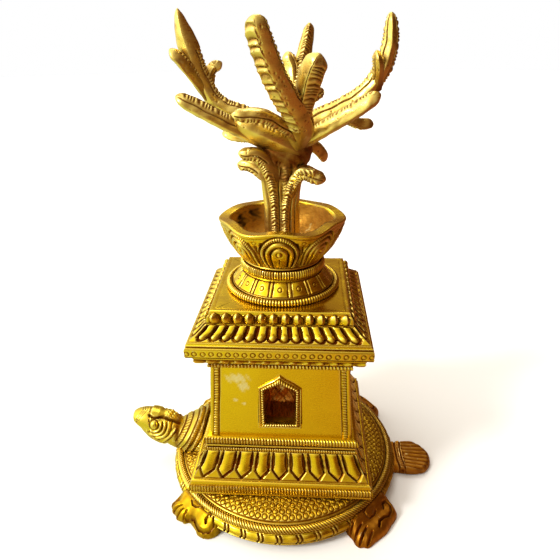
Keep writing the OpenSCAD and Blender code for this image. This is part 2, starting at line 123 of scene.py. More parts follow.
class Graph:
    """Adds nodes to a material or a world. A value is another node's output, a number or a colour."""

    def __init__(self, owner):
        owner.use_nodes = True
        self.nodes, self.links = owner.node_tree.nodes, owner.node_tree.links

    def wire(self, node, inputs):
        """Links or sets a node's inputs."""
        for key, value in inputs.items():
            if isinstance(value, bpy.types.NodeSocket):
                self.links.new(value, node.inputs[key])
            else:
                node.inputs[key].default_value = value

    def add(self, kind, inputs=None, out=0, **settings):
        """A node with its inputs set or linked; returns one of its outputs."""
        node = self.nodes.new("ShaderNode" + kind)
        for key, value in settings.items():
            setattr(node, key, value)
        self.wire(node, inputs or {})
        return node.outputs[out] if node.outputs else None

    def spread(self, value, lo, hi, to_lo=0.0, to_hi=1.0):
        """A value taken from one range to another, held at its ends."""
        limits = {"From Min": lo, "From Max": hi, "To Min": to_lo, "To Max": to_hi}
        return self.add("MapRange", {"Value": value, **limits})

    def sums(self, kind, a, b):
        """One step of arithmetic; a sum is held between 0 and 1."""
        return self.add("Math", {0: a, 1: b}, operation=kind, use_clamp=kind == "ADD")

    def mix(self, fac, a, b):
        """The first colour where the factor is 0, the second where it is 1."""
        a, b = ((*value, 1) if isinstance(value, tuple) else value for value in (a, b))
        return self.add("Mix", {"Factor": fac, 6: a, 7: b}, 2, data_type="RGBA")

    def ramp(self, value, stops):
        """A colour that runs through stops, each a place and a colour."""
        colour = self.add("ValToRGB", {"Fac": value})
        elements = colour.node.color_ramp.elements
        elements[0].position, elements[1].position = stops[0][0], stops[-1][0]
        for place, _ in stops[1:-1]:
            elements.new(place)
        for element, (_, tone) in zip(elements, stops):
            element.color = (*tone, 1)
        return colour


# The room's light along its axis, from low on the right to high on the left
ROOM_AXIS = (-0.85, -0.12, 0.50)
ROOM = [(0.15, (0.10, 0.035, 0.012)), (0.43, (0.20, 0.07, 0.025)), (0.55, (0.44, 0.29, 0.17)),
        (0.70, (0.84, 0.78, 0.65)), (0.95, (2.3, 2.25, 2.1))]
# The floor's tone in the brass, from left to right, and the distance that it runs to each side
GROUND = [(0, (0.55, 0.63, 0.33)), (0.22, (0.56, 0.62, 0.33)), (0.68, (0.46, 0.30, 0.16)),
          (1, (0.19, 0.055, 0.02))]
GROUND_REACH = 0.15
PAPER = (0.92, 0.92, 0.91)


def make_room():
    """A pale room that the brass sees bright to the upper left and dim to the right, and two suns."""
    scene = bpy.context.scene
    scene.view_settings.view_transform = "Standard"
    scene.world = bpy.data.worlds.new("studio")
    graph = Graph(scene.world)
    graph.nodes.clear()
    ways = {0: graph.add("TexCoord", out="Generated"), 1: Vector(ROOM_AXIS).normalized()}
    aim = graph.add("VectorMath", ways, "Value", operation="DOT_PRODUCT")
    room = graph.add("Background", {"Color": graph.ramp(graph.spread(aim, -1, 1), ROOM)})
    backdrop = graph.add("Background", {"Color": (1, 1, 1, 1)})
    seen = graph.add("LightPath", out="Is Camera Ray")
    graph.add("OutputWorld", {"Surface": graph.add("MixShader", {"Fac": seen, 1: room, 2: backdrop})})
    make_sun("key", (-0.72, -0.45, 0.66), 2.0, 12, (1, 0.99, 0.95))
    make_sun("top", (-0.10, 0.55, 0.80), 0.8, 24, (1, 0.98, 0.92))


def make_floor():
    """A plain floor, just under the feet: pale to the camera, a warmer tone to the brass."""
    data = bpy.data.meshes.new("floor")
    bm = bmesh.new()
    bmesh.ops.create_circle(bm, cap_ends=True, segments=96, radius=4)
    bm.to_mesh(data)
    bm.free()
    floor = put("floor", data)
    floor.location.z = -0.05 * MM
    paper = bpy.data.materials.new("paper_floor")
    graph = Graph(paper)
    sideways = graph.add("SeparateXYZ", {0: graph.add("TexCoord", out="Object")}, "X")
    tones = graph.ramp(graph.spread(sideways, -GROUND_REACH, GROUND_REACH), GROUND)
    tint = graph.mix(graph.add("LightPath", out="Is Camera Ray"), tones, PAPER)
    graph.wire(graph.nodes["Principled BSDF"], {"Roughness": 0.9, "Base Color": tint})
    data.materials.append(paper)


# ---------------------------------------------------------------- materials


def brass(name, gold, darkening, rough, grain, tarnish):
    """Cast brass: gold metal, dark patina and painted shade where the mesh's attribute says, painted shade
    from ambient occlusion in hollows and between parts, tarnish in soft clouds, a painted highlight that
    turns convex edges pale, fine casting grain and polishing scratches."""
    material = bpy.data.materials.new(name)
    graph = Graph(material)
    spread, sums, mix = graph.spread, graph.sums, graph.mix
    place = graph.add("TexCoord", out="Object")

    def noise(scale, detail, roughness=0.55, vector=place):
        return graph.add("TexNoise", {"Vector": vector, "Scale": scale, "Detail": detail,
                                      "Roughness": roughness}, "Fac")

    # the mesh's patina and painted shade
    patina_and_shade = graph.add("Attribute", out="Fac", attribute_name="patina_and_shade")
    scuff = graph.add("Attribute", out="Fac", attribute_name="scuff")
    clouds = noise(45, 4)
    blotches = noise(160, 5, 0.65)
    specks = noise(900, 3, 0.6)
    scratches = noise(420, 2, 0.5, graph.add("Mapping", {"Vector": place, "Scale": (1.0, 1.0, 9.0)}))
    pits = spread(graph.add("TexVoronoi", {"Vector": place, "Scale": 420}, "Distance"), 0.10, 0.02)

    # painted shade: ambient occlusion darkens hollows and the places between parts
    ambient_occlusion = graph.add("AmbientOcclusion", {"Distance": 0.0035}, "AO", samples=6)
    painted_shade = spread(ambient_occlusion, 0.62, 0.18, 0.0, 0.85)
    rubbed = spread(spread(blotches, 0.38, 0.62), 0, 1, 0.78, 1.12)
    dark = sums("MULTIPLY", sums("MAXIMUM", patina_and_shade, painted_shade), rubbed)
    dark = sums("ADD", dark, sums("MULTIPLY", pits, 0.22))
    dull = sums("MULTIPLY", spread(clouds, 0.42, 0.70), tarnish)
    warm = tuple(c * k for c, k in zip(gold, (0.80, 0.66, 0.45)))
    # the first is the pale tone of the painted edge highlight, the second that of rubbed scuffs
    pale_wear_and_highlight, rubbed_pale = (0.80, 0.66, 0.26), (0.95, 0.97, 0.88)
    colour = mix(dull, gold, warm)
    colour = mix(sums("MULTIPLY", spread(specks, 0.55, 0.75), min(0.25, 2.5 * grain)), colour, warm)
    # painted highlight: convex edges turn pale
    colour = mix(spread(graph.add("NewGeometry", out="Pointiness"), 0.505, 0.57, 0.0, 0.7), colour, pale_wear_and_highlight)
    colour = mix(sums("MULTIPLY", scuff, 0.8), colour, rubbed_pale)
    colour = mix(dark, colour, darkening)

    gloss = spread(scratches, 0.3, 0.7, rough * 0.75, rough * 1.25)
    for cause, rise in ((dull, 0.18), (dark, 0.30), (scuff, 0.35)):
        gloss = sums("ADD", gloss, sums("MULTIPLY", cause, rise))

    relief = sums("ADD", sums("MULTIPLY", blotches, 0.55), sums("MULTIPLY", specks, 0.25))
    relief = sums("ADD", relief, sums("MULTIPLY", scratches, 0.2))
    bump = graph.add("Bump", {"Strength": grain, "Distance": 0.0006, "Height": relief})
    graph.wire(graph.nodes["Principled BSDF"],
               {"Base Color": colour, "Metallic": 1.0, "Roughness": gloss, "Normal": bump})
    return material


# Name, clean metal, dark tone of patina and painted shade, roughness, grain and tarnish of each finish
PATINA_AND_SHADE_TONE = (0.155, 0.032, 0.001)
POLISHED = brass("polished_brass", (0.74, 0.515, 0.014), PATINA_AND_SHADE_TONE, 0.22, 0.03, 0.35)
CHASED = brass("chased_brass", (0.72, 0.485, 0.012), PATINA_AND_SHADE_TONE, 0.24, 0.06, 0.45)
CAST = brass("cast_brass", (0.75, 0.56, 0.135), PATINA_AND_SHADE_TONE, 0.32, 0.25, 0.55)
PALE = brass("pale_brass", (0.66, 0.49, 0.042), PATINA_AND_SHADE_TONE, 0.27, 0.08, 0.5)
# a darker, redder copy of the brass for the tail and rear feet on the right: painted shade
SHADED_RED_BRASS = brass("red_brass_with_painted_shade", (0.58, 0.26, 0.020), PATINA_AND_SHADE_TONE, 0.30, 0.10, 0.5)
WARM = brass("bowl_lining", (0.56, 0.29, 0.040), (0.022, 0.009, 0.004), 0.70, 0.35, 0.4)
STEEL = brass("plain_steel", (0.53, 0.54, 0.55), (0.09, 0.07, 0.05), 0.34, 0.15, 0.3)
SKIN = brass("casting_skin", (0.50, 0.20, 0.030), (0.09, 0.022, 0.003), 0.34, 0.55, 0.8)


# ---------------------------------------------------------------- reliefs on grids


def smooth(t):
    t = np.clip(t, 0, 1)
    return t * t * (3 - 2 * t)


def notch(distance, width):
    """1 in the middle of a cut and 0 beyond its width."""
    return 1 - smooth(np.abs(distance) / width)


def span(value, lo, hi, soft):
    """1 between two values, with soft ends."""
    return smooth((value - lo) / soft + 0.5) * smooth((hi - value) / soft + 0.5)


def to_segment(x, y, a, b):
    """Distance from points to the segment from a to b, and how far along it they lie."""
    ax, ay = a
    dx, dy = b[0] - ax, b[1] - ay
    t = np.clip(((x - ax) * dx + (y - ay) * dy) / (dx * dx + dy * dy), 0, 1)
    return np.hypot(x - ax - t * dx, y - ay - t * dy), t


# A distance beyond any cut
FAR = 9


def ripple(along, pitch):
    """A wave from 0 to 1, at its crest at 0 and at every pitch."""
    return 0.5 + 0.5 * np.cos(2 * np.pi * along / pitch)


class Relief:
    """Heights h above a surface, in millimetres, dark patina and painted shade p and pale scuffing there."""

    def __init__(self, shape):
        self.h, self.p, self.scuff = np.zeros(shape), np.zeros(shape), np.zeros(shape)

    def stain_and_shade(self, amount):
        """Patina and painted shade at least this dark."""
        self.p = np.maximum(self.p, amount)

    def cut(self, distance, width, depth, darkening=1.0, where=True):
        """A rounded cut along distance 0, where it is wanted, with dirt in it."""
        distance = np.where(where, distance, FAR)
        self.h -= depth * notch(distance, width)
        self.stain_and_shade(darkening * notch(distance, width * 1.5))

    def channel(self, distance, half_width, depth, soft=0.55):
        """A flat-bottomed slot with steep sides."""
        self.h -= depth * smooth((half_width - np.abs(distance)) / soft + 0.5)
        self.stain_and_shade(smooth((half_width + 0.2 - np.abs(distance)) / soft + 0.5))

    def swell(self, amount, rise):
        self.h += rise * amount

    def ribs(self, along, pitch, rise, where):
        """Narrow ribs across a band, with dirt between them."""
        wave = ripple(along, pitch)
        self.h += rise * where * wave**0.7
        self.stain_and_shade(0.9 * where * (1 - wave) ** 2.4)

    def ring_punch(self, distance, radius):
        """The mark of a hollow punch: a ring-shaped dent round a small dome."""
        self.cut(distance - radius, radius * 0.32, 0.26 * radius, 1.0)
        self.swell(notch(distance, radius * 0.8), 0.04 * radius)


def lengths(points):
    """How far along its run each point lies."""
    return np.concatenate([[0], np.cumsum(np.linalg.norm(np.diff(points, axis=0), axis=1))])


def resample(profile, step):
    """Points every step along a profile, its corners kept, with their outward normals."""
    points = np.array(profile, float)
    reach = lengths(points)
    marks = [np.linspace(a, b, max(2, int(round((b - a) / step)) + 1)) for a, b in zip(reach, reach[1:])]
    s = np.unique(np.round(np.concatenate(marks), 6))
    out, z = (np.interp(s, reach, points[:, k]) for k in (0, 1))
    to_out, to_up = np.gradient(z, s), -np.gradient(out, s)
    length = np.hypot(to_out, to_up)
    return s, out, z, to_out / length, to_up / length


def rounded(profile, radius, steps=4):
    """A profile with its inner corners turned into short curves."""
    points = [np.array(p, float) for p in profile]
    curve = [points[0]]
    for before, corner, after in zip(points, points[1:], points[2:]):
        back, ahead = before - corner, after - corner
        reach = min(radius, np.linalg.norm(back) * 0.45, np.linalg.norm(ahead) * 0.45)
        a = corner + back / np.linalg.norm(back) * reach
        b = corner + ahead / np.linalg.norm(ahead) * reach
        for t in np.linspace(0, 1, steps):
            curve.append((1 - t) ** 2 * a + 2 * t * (1 - t) * corner + t * t * b)
    curve.append(points[-1])
    return curve


def offsets(out, up, *steps):
    """Profile points, each a step out and up from the same corner."""
    return [(out + a, up + b) for a, b in steps]


def bulge(out, z0, z1, rise, steps=10):
    """A half-round moulding from one height to another."""
    turn = np.linspace(0, np.pi, steps + 1)
    return [(out + rise * math.sin(a), (z0 + z1) / 2 - (z1 - z0) / 2 * math.cos(a)) for a in turn]


def wobble(x, size, seed):
    """A slow, seeded hand wander along a row."""
    phase = np.random.default_rng(seed).uniform(0, 2 * np.pi, 3)
    waves = zip((1, 0.6, 0.4), (0.31, 0.83, 1.9), phase)
    return size * sum(share * np.sin(x * rate + start) for share, rate, start in waves)


def mesh_object(name, points, faces, patina_and_shade, material, sharp=40, scuff=None):
    """A shaded mesh with its patina and painted shade, and any scuffing, as point attributes."""
    data = bpy.data.meshes.new(name)
    data.from_pydata((np.asarray(points) * MM).tolist(), [], faces)
    mark = data.attributes.new("patina_and_shade", "FLOAT", "POINT")
    mark.data.foreach_set("value", np.clip(patina_and_shade, 0, 1).astype(np.float32))
    if scuff is not None:
        pale_wear_and_highlight = data.attributes.new("scuff", "FLOAT", "POINT")
        pale_wear_and_highlight.data.foreach_set("value", np.clip(scuff, 0, 1).astype(np.float32))
    data.materials.append(material)
    data.shade_smooth()
    data.set_sharp_from_angle(angle=math.radians(sharp))
    piece = put(name, data)
    return piece


def grid_faces(rows, cols, start=0, wrap=False):
    """Quads of a grid of points, stored row by row."""
    v = start + np.arange(rows * cols).reshape(rows, cols)
    right = np.roll(v, -1, axis=1) if wrap else v[:, 1:]
    left = v if wrap else v[:, :-1]
    return np.stack([left[:-1], right[:-1], right[1:], left[1:]], axis=-1).reshape(-1, 4).tolist()


def settle(piece, body, nodes):
    """Says what a piece rides on and which CAD nodes it stands for (names with spaces between)."""
    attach(piece, body)
    if nodes:
        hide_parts(*nodes.split())


def square_course(name, nodes, profile, ornament, material, step=0.3, across=None, keep=None):
    """Four sides of a square course. The ornament is a relief laid on each side, from x (along the
    side), s (up the profile), z and the side's half width there."""
    s, out, z, to_out, to_up = resample(profile, step)
    if across is None:
        count = int(2 * out.max() / step) // 2 * 2 + 1
        across = np.linspace(-1, 1, count)
    rows, cols = len(s), len(across)
    points, patina_and_shade, scuff, faces = [], [], [], []
    for side in range(4):
        x = across[None, :] * out[:, None]
        grids = np.broadcast_arrays(x, s[:, None], z[:, None], out[:, None])
        relief = Relief(x.shape)
        ornament(relief, *grids, side)
        reach = out[:, None] + to_out[:, None] * relief.h
        grid = np.stack([across[None, :] * reach, -reach, z[:, None] + to_up[:, None] * relief.h], axis=-1)
        c, d = math.cos(side * np.pi / 2), math.sin(side * np.pi / 2)
        spin = np.array([[c, d, 0], [-d, c, 0], [0, 0, 1]])
        new = grid_faces(rows, cols, side * rows * cols)
        if keep is not None and side == 0:
            flat = x.reshape(-1), np.broadcast_to(s[:, None], x.shape).reshape(-1)
            new = [f for f in new if keep(flat[0][f].mean(), flat[1][f].mean())]
        points.append(grid.reshape(-1, 3) @ spin)
        patina_and_shade.append(relief.p.reshape(-1))
        scuff.append(relief.scuff.reshape(-1))
        faces += new
    piece = mesh_object(name, np.concatenate(points), faces, np.concatenate(patina_and_shade), material,
                        scuff=np.concatenate(scuff))
    settle(piece, "stand", nodes)


def round_course(name, nodes, profile, ornament, material, step=0.3, count=None, plan=None):
    """A turned course. The ornament is a relief from turn (angle), s (along the profile), radius
    and height; the profile runs up the outside. A plan scales the radius and lifts the height."""
    s, r, z, to_out, to_up = resample(profile, step)
    count = count or int(2 * np.pi * r.max() / step)
    turn = np.arange(count) * 2 * np.pi / count
    grids = np.broadcast_arrays(turn, *(v[:, None] for v in (s, r, z)))
    relief = Relief(grids[0].shape)
    ornament(relief, *grids)
    scale, lift = plan(turn[None, :], z[:, None]) if plan else (1.0, 0.0)
    reach = (r[:, None] + to_out[:, None] * relief.h) * scale
    height = z[:, None] + to_up[:, None] * relief.h + lift
    # angle 0 faces the front, and grows to the right
    grid = np.stack([np.sin(turn)[None, :] * reach, -np.cos(turn)[None, :] * reach, height], axis=-1)
    faces = grid_faces(len(s), count, wrap=True)
    piece = mesh_object(name, grid.reshape(-1, 3), faces, relief.p.reshape(-1), material)
    settle(piece, "stand", nodes)


# ---------------------------------------------------------------- plinth


def ribbed_band(pitch, rise, z0, z1, seed):
    """Ornament: upright ribs between two heights, with an incised line above and below."""

    def ornament(relief, x, s, z, out, side):
        hand = x + wobble(x, 0.10, seed + side)
        relief.ribs(hand, pitch, rise, span(z, z0, z1, 0.5))
        relief.cut(z - z0, 0.32, 0.22, 0.9)
        relief.cut(z - z1, 0.32, 0.22, 0.9)

    return ornament


def make_plinth_base():
    """The ribbed half round at the plinth's foot."""
    base = "plinth_base_band"
    edge, z0, z1 = extent(base)
    band = rounded(offsets(edge, z0, (-8, 0), (-1, 0), (-0.3, 0.5), (-0.4, 1.5)), 0.4)
    band += bulge(edge - 0.8, z0 + 1.7, z0 + 5.9, 0.7)
    band += rounded(offsets(edge, z0, (-0.7, 6.1), (-0.5, 6.5), (-0.7, 7.8)) +
                    offsets(edge, z1, (-1.2, -0.05), (-3, 0)), 0.3)
    ribs = ribbed_band(1.36, 0.5, z0 + 1.9, z0 + 5.7, 10)
    square_course("plinth_base_band_chased", base, band, ribs, CHASED)


def make_plinth_petals():
    """The plinth's slope, from its base band up to its moulding."""
    petals = "plinth_petal_course"
    edge, z1, z2 = half("plinth_base_band"), top("plinth_base_band"), top(petals)
    top_half = half("plinth_moulding") - 0.4
    slope = rounded(offsets(edge, z1, (-1.8, -0.6), (-1.9, 0.5), (-3.1, 2.4), (-5.2, 6.2), (-6.6, 9.6)) +
                    offsets(top_half, z2, (0.3, -0.1), (-1.4, 0.1)), 1.2)
    square_course("plinth_petals_chased", petals, slope, plinth_petal_row, POLISHED, 0.27)


def make_plinth_moulding():
    """A ribbed fillet, a plain bead and a wide ribbed half round, above the petals."""
    moulding = "plinth_moulding"
    z2, z3 = top("plinth_petal_course"), top(moulding)
    inner = half(moulding) - 1.2
    rows = rounded(offsets(inner, z2, (0.2, -0.2), (0.9, 0.1), (0.9, 1.5), (0.2, 1.8)), 0.3)
    rows += bulge(inner + 0.1, z2 + 1.85, z2 + 3.5, 0.55)
    rows += bulge(inner - 0.3, z2 + 3.6, z3, 1.5)
    rows += [(inner - 4, z3)]

    def ornament(relief, x, s, z, out, side):
        hand = x + wobble(x, 0.08, 30 + side)
        relief.ribs(hand, 1.15, 0.34, span(z, z2 + 0.1, z2 + 1.6, 0.4))
        relief.ribs(hand * 0.97, 1.34, 0.5, span(z, z2 + 4.4, z3 - 0.5, 0.6))
        relief.ribs(hand, 0.9, 0.15, span(z, z2 + 3.7, z2 + 4.2, 0.3))
        relief.cut(z - z2 - 1.8, 0.3, 0.25)
        relief.cut(z - z2 - 3.45, 0.3, 0.25)

    square_course("plinth_moulding_chased", moulding, rows, ornament, CHASED, 0.27)


def plinth_petal_row(relief, x, s, z, out, side):
    """Nine leaves that hang point down, each between two deep slots that fan with the slope."""
    rng = np.random.default_rng(40 + side)
    length = float(s.max())
    fan = x / out * 40
    pitch = 9.0
    tip, shoulder, head = 1.9, 5.6, length - 2.2
    relief.cut(s - 1.2, 0.5, 0.35, 1.0)
    relief.cut(s - length + 1.3, 0.35, 0.2, 0.9)
    for k in range(-4, 5):
        centre = k * pitch + rng.uniform(-0.35, 0.35)
        wide = 3.35 + rng.uniform(-0.2, 0.2)
        for hand in (-1, 1):
            corner = centre + hand * wide, shoulder + rng.uniform(-0.3, 0.3)
            ends = (centre + hand * (wide - 0.2), head), corner, (centre + hand * 0.2, tip)
            upper, t = to_segment(fan, s, ends[0], ends[1])
            thick = 0.35 + 0.65 * np.sin(np.pi * np.clip(t * 0.9 + 0.08, 0, 1))
            relief.channel(upper, 0.74 * thick, 1.5 * thick)
            lower, t = to_segment(fan, s, ends[1], ends[2])
            relief.channel(lower, 0.40 + 0.14 * hand * (centre < 0), 0.9)
        inside = notch(fan - centre, wide) * span(s, tip + 2, head, 2.5)
        relief.swell(inside, 0.45)


# ---------------------------------------------------------------- tower


def tower_rise():
    """Foot and top of the leaning wall: half width and height of each."""
    z0, z1 = low("tower_body"), top("tower_body")
    return half("tower_body"), z0, half("tower_cap_band") - 1.1, z1


def make_tower():
    """The leaning walls with their corner strips, and the ribbed band that caps them."""
    foot, z0, head, z1 = tower_rise()
    fine = 4.6
    near = np.arange(0, fine, 0.27) / head
    middle = np.linspace(-1 + near[-1], 1 - near[-1], 61)
    across = np.unique(np.round(np.concatenate([-1 + near, middle, 1 - near]), 6))

    def ornament(relief, x, s, z, out, side):
        inward = out - np.abs(x)
        relief.cut(inward - 1.75, 0.32, 0.32)
        relief.cut(inward - 3.95, 0.36, 0.40)
        relief.ribs(s + wobble(s, 0.07, 50 + side), 1.38, 0.45, span(inward, 1.95, 3.75, 0.3))
        relief.swell(span(inward, 0.25, 1.5, 0.5), 0.18)
        relief.scuff += 0.7 * wall_scuffs(x + 5 * (side % 2), s)
        relief.h += 0.05 * np.sin(x * 0.21 + 1) * np.sin(s * 0.17 + side)

    def keep(x, s):
        """The wall stops just inside the niche frame's outline."""
        return not inside_niche(x, s, 0.25)

    square_course("tower_walls_chased", "tower_body tower_corner_beading", [(foot, z0), (head, z1)],
                  ornament, POLISHED, 0.3, across, keep)

    z2 = top("tower_cap_band")
    cap = bulge(head - 0.2, z1 - 0.1, z2 + 0.1, 1.1)
    square_course("tower_cap_band_chased", "tower_cap_band", cap,
                  ribbed_band(1.5, 0.5, z1 + 0.3, z2 - 0.2, 60), CHASED, 0.27)


# Rubbed patches beside the niche: place across and up the wall, half width and half height
SCUFFS = [(-19.5, 31, 5.5, 2.6), (-16.5, 27, 2.6, 3.0), (-20.5, 19.5, 1.2, 1.0), (-16.6, 17.5, 0.9, 0.8)]


def wall_scuffs(x, up):
    """Pale rubbed patches to the left of the niche, broken by fine streaks."""
    streak = np.sin(x * 3.1 + 1.7 * np.sin(up * 0.9)) * np.sin(up * 2.3 + 1.3 * np.sin(x * 0.7))
    patch = np.zeros_like(x)
    for across, height, wide, tall in SCUFFS:
        away = np.hypot((x - across) / wide, (up - height) / tall) + 0.25 * np.sin(x * 1.9 + up)
        patch = np.maximum(patch, smooth(1.5 - away * 1.3) * (0.45 + 0.55 * (0.5 + 0.5 * streak)))
    return patch


# The niche's outline: half width, heights up the wall of its foot, shoulder and point
NICHE_FOOT = 4.5
NICHE_SHOULDER = 26.6
NICHE_POINT = 33.6


def niche_corners(inset):
    """Corners of the niche's outline, drawn in by a distance, anticlockwise from its foot."""
    wide = half("niche_frame") - inset
    foot = NICHE_FOOT + inset
    shoulder = NICHE_SHOULDER - inset * 0.3
    rise = NICHE_POINT - inset * 1.7 - shoulder
    right = [(wide, foot), (wide, shoulder), (wide * 0.62, shoulder + rise * 0.38),
             (wide * 0.26, shoulder + rise * 0.68), (0, shoulder + rise)]
    left = [(-x, y) for x, y in right[:-1][::-1]]
    return np.array(right + left)


def inside_niche(x, y, inset):
    """Whether a point of the front wall lies in the niche's outline."""
    corners = niche_corners(inset)
    inside = True
    for a, b in zip(corners, np.roll(corners, -1, axis=0)):
        inside = inside and (b[0] - a[0]) * (y - a[1]) - (b[1] - a[1]) * (x - a[0]) >= 0
    return inside


def niche_path(inset, counts):
    """The outline as evenly spaced points, the same number on each edge at any inset."""
    corners = niche_corners(inset)
    edges = zip(corners, np.roll(corners, -1, axis=0), counts)
    return np.concatenate([a + (b - a) * np.linspace(0, 1, n, endpoint=False)[:, None] for a, b, n in edges])


def niche_counts():
    """How many points each edge of the niche's outline takes."""
    corners = niche_corners(0)
    return [max(3, int(np.linalg.norm(b - a) / 0.26)) for a, b in zip(corners, np.roll(corners, -1, axis=0))]


def on_wall(flat, height):
    """Points up the front wall at heights above it, in the stand's own axes."""
    foot, z0, head, z1 = tower_rise()
    lean = math.atan2(foot - head, z1 - z0)
    x, up = flat[..., 0], flat[..., 1]
    y = -foot + up * math.sin(lean) - height * math.cos(lean)
    return np.stack([x, y, z0 + up * math.cos(lean) + height * math.sin(lean)], axis=-1)


# The niche frame's section: how far in from its outline, and how far proud of the wall
NICHE_SECTION = [(-0.55, -0.3), (-0.45, -0.05), (-0.2, 0.0), (0.0, -0.30), (0.12, 0.1), (0.3, 0.6),
                 (0.6, 0.95), (0.9, 0.85), (1.1, 0.55), (1.25, 0.75), (1.5, 1.2), (1.8, 1.5), (2.1, 1.6),
                 (2.4, 1.5), (2.7, 1.1), (2.85, 0.4), (2.9, -0.5), (2.95, -2.0), (2.9, -4.2)]


def make_niche_frame():
    """The moulded frame round the niche, with its ribbed inner bead."""
    counts = niche_counts()
    steps = np.linalg.norm(np.roll(niche_path(1.5, counts), -1, axis=0) - niche_path(1.5, counts), axis=1)
    along = np.concatenate([[0], np.cumsum(steps)[:-1]])
    rows, patina_and_shade = [], []
    wave = ripple(along + wobble(along, 0.05, 70), 1.3)
    for inset, height in NICHE_SECTION:
        ribbed = 1.25 <= inset <= 2.85
        lift = 0.34 * (wave - 0.5) if ribbed else 0
        rows.append(on_wall(niche_path(inset, counts), height + lift))
        groove = 1.0 if inset in (0.0, 1.1) else 0.7 if height < -1 else 0.0
        patina_and_shade.append(np.maximum(groove, 0.95 * (1 - wave) ** 2.2 if ribbed else 0) * np.ones(len(wave)))
    faces = grid_faces(len(rows), len(wave), wrap=True)
    piece = mesh_object("niche_frame_chased", np.concatenate(rows), faces, np.concatenate(patina_and_shade), CHASED)
    settle(piece, "stand", "niche_frame")


def make_niche_pocket():
    """The rough pocket behind the frame, darker towards its top."""
    counts = niche_counts()
    depth = node_box("niche_pocket")[1][1] - node_box("niche_pocket")[0][1] - 3
    centre = np.array([0, (NICHE_FOOT + NICHE_SHOULDER) / 2 + 1])
    sides = np.linspace(0, 1, 34)
    backs = np.linspace(0, 1, 12)[1:]
    rows = []
    phase = np.random.default_rng(71).uniform(0, 2 * np.pi, 6)

    def lumps(flat, deep):
        """Unevenness of the rough casting, by place."""
        x, up = flat[:, 0], flat[:, 1]
        wide = np.sin(0.9 * x + phase[0]) * np.sin(0.7 * up + phase[1] + 0.5 * deep)
        fine = np.sin(2.3 * x + phase[2] + deep) * np.sin(1.9 * up + phase[3])
        return wide + 0.6 * fine + 0.3 * np.sin(4.1 * x + phase[4]) * np.sin(3.7 * up + phase[5] + deep)

    flat = niche_path(2.95, counts)
    soft = sum(np.roll(flat, k, axis=0) for k in range(-13, 14)) / 27
    mouth, reach = -4.0, depth - 2.5
    for t in sides:
        flat = niche_path(2.95, counts) * (1 - min(1, 4 * t)) + soft * min(1, 4 * t)
        inward = 0.12 * smooth((t - 0.6) / 0.4) + 0.03 * lumps(flat, 6 * t)[:, None] * min(1, 5 * t)
        rows.append(on_wall(flat + (centre - flat) * inward, mouth - t * reach))
    for t in backs:
        inner = flat + (centre - flat) * min(0.12 + 0.88 * t, 0.999)
        rows.append(on_wall(inner, mouth - reach - 0.9 * smooth(t * 3) + 0.4 * lumps(inner, 2)))
    points = np.concatenate(rows)
    # darker towards the top of the pocket
    darker_to_top = np.maximum(0.15, 0.95 * smooth((points[:, 2] - low("tower_body") - NICHE_SHOULDER + 9) / 7))
    faces = grid_faces(len(rows), len(soft), wrap=True)
    piece = mesh_object("niche_pocket_rough", points, faces, darker_to_top, SKIN, 70)
    settle(piece, "stand", "niche_pocket")


# ---------------------------------------------------------------- eave and roof


def make_soffit():
    """The eave's underside, with a row of small leaves."""
    z0, z1 = low("eave_soffit"), top("eave_soffit")
    inner, edge = half("tower_cap_band") - 0.4, half("eave_edge")
    under = rounded(offsets(inner, z0, (-1, 0), (0.6, 0.5), (2.2, 1.7), (4.6, 3.6), (5.4, 4.9),
                    (5.5, 6.0)) + offsets(edge, z0, (-2.6, 6.6)) + offsets(edge, z1, (-2.0, 0.1),
                    (-0.2, 0.2)), 0.9)

    def leaves(relief, x, s, z, out, side):
        fan = x / out * 36
        near = np.abs((fan + 3.0) % 6.0 - 3.0)
        rise = z - z0
        low_row = span(rise, 1.2, 5.0, 0.5)
        leaf = np.abs(near) / 2.1 + np.abs(rise - 3.2) / 2.4
        hole = smooth((leaf - 0.85) / 0.35) * low_row
        relief.h -= 1.1 * hole
        relief.stain_and_shade(hole)
        relief.swell(np.clip(1 - leaf, 0, 1) ** 0.6 * low_row, 0.45)
        relief.cut(rise - 5.3, 0.4, 0.3)

    square_course("eave_soffit_chased", "eave_soffit", under, leaves, CHASED, 0.28)


def make_eave_edge():
    """The eave's upright edge, with its row of ring punches."""
    edge, z1, z2 = half("eave_edge"), top("eave_soffit"), top("eave_edge")
    rim = rounded(offsets(edge, z1, (-2.5, 0), (-0.7, 0.02), (-0.05, 0.7), (0, 2.2), (-0.02, 4.0),
                  (-0.3, 4.7), (-0.9, 5.0), (-0.9, 5.5), (-0.45, 5.9)) + offsets(edge, z2, (-1.2, 0),
                  (-3, 0.2)), 0.4)

    def punched(relief, x, s, z, out, side):
        rng = np.random.default_rng(80 + side)
        pitch = 3.55
        row = z1 + 2.3
        for k in range(-11, 12):
            at = k * pitch * (out / edge) + rng.uniform(-0.18, 0.18)
            relief.ring_punch(np.hypot(x - at, z - row - rng.uniform(-0.12, 0.12)), 1.0)
        relief.cut(z - z1 - 5.2, 0.35, 0.3)
        relief.cut(z - z1 - 4.35, 0.2, 0.1, 0.5)

    square_course("eave_edge_punched", "eave_edge", rim, punched, POLISHED, 0.26)


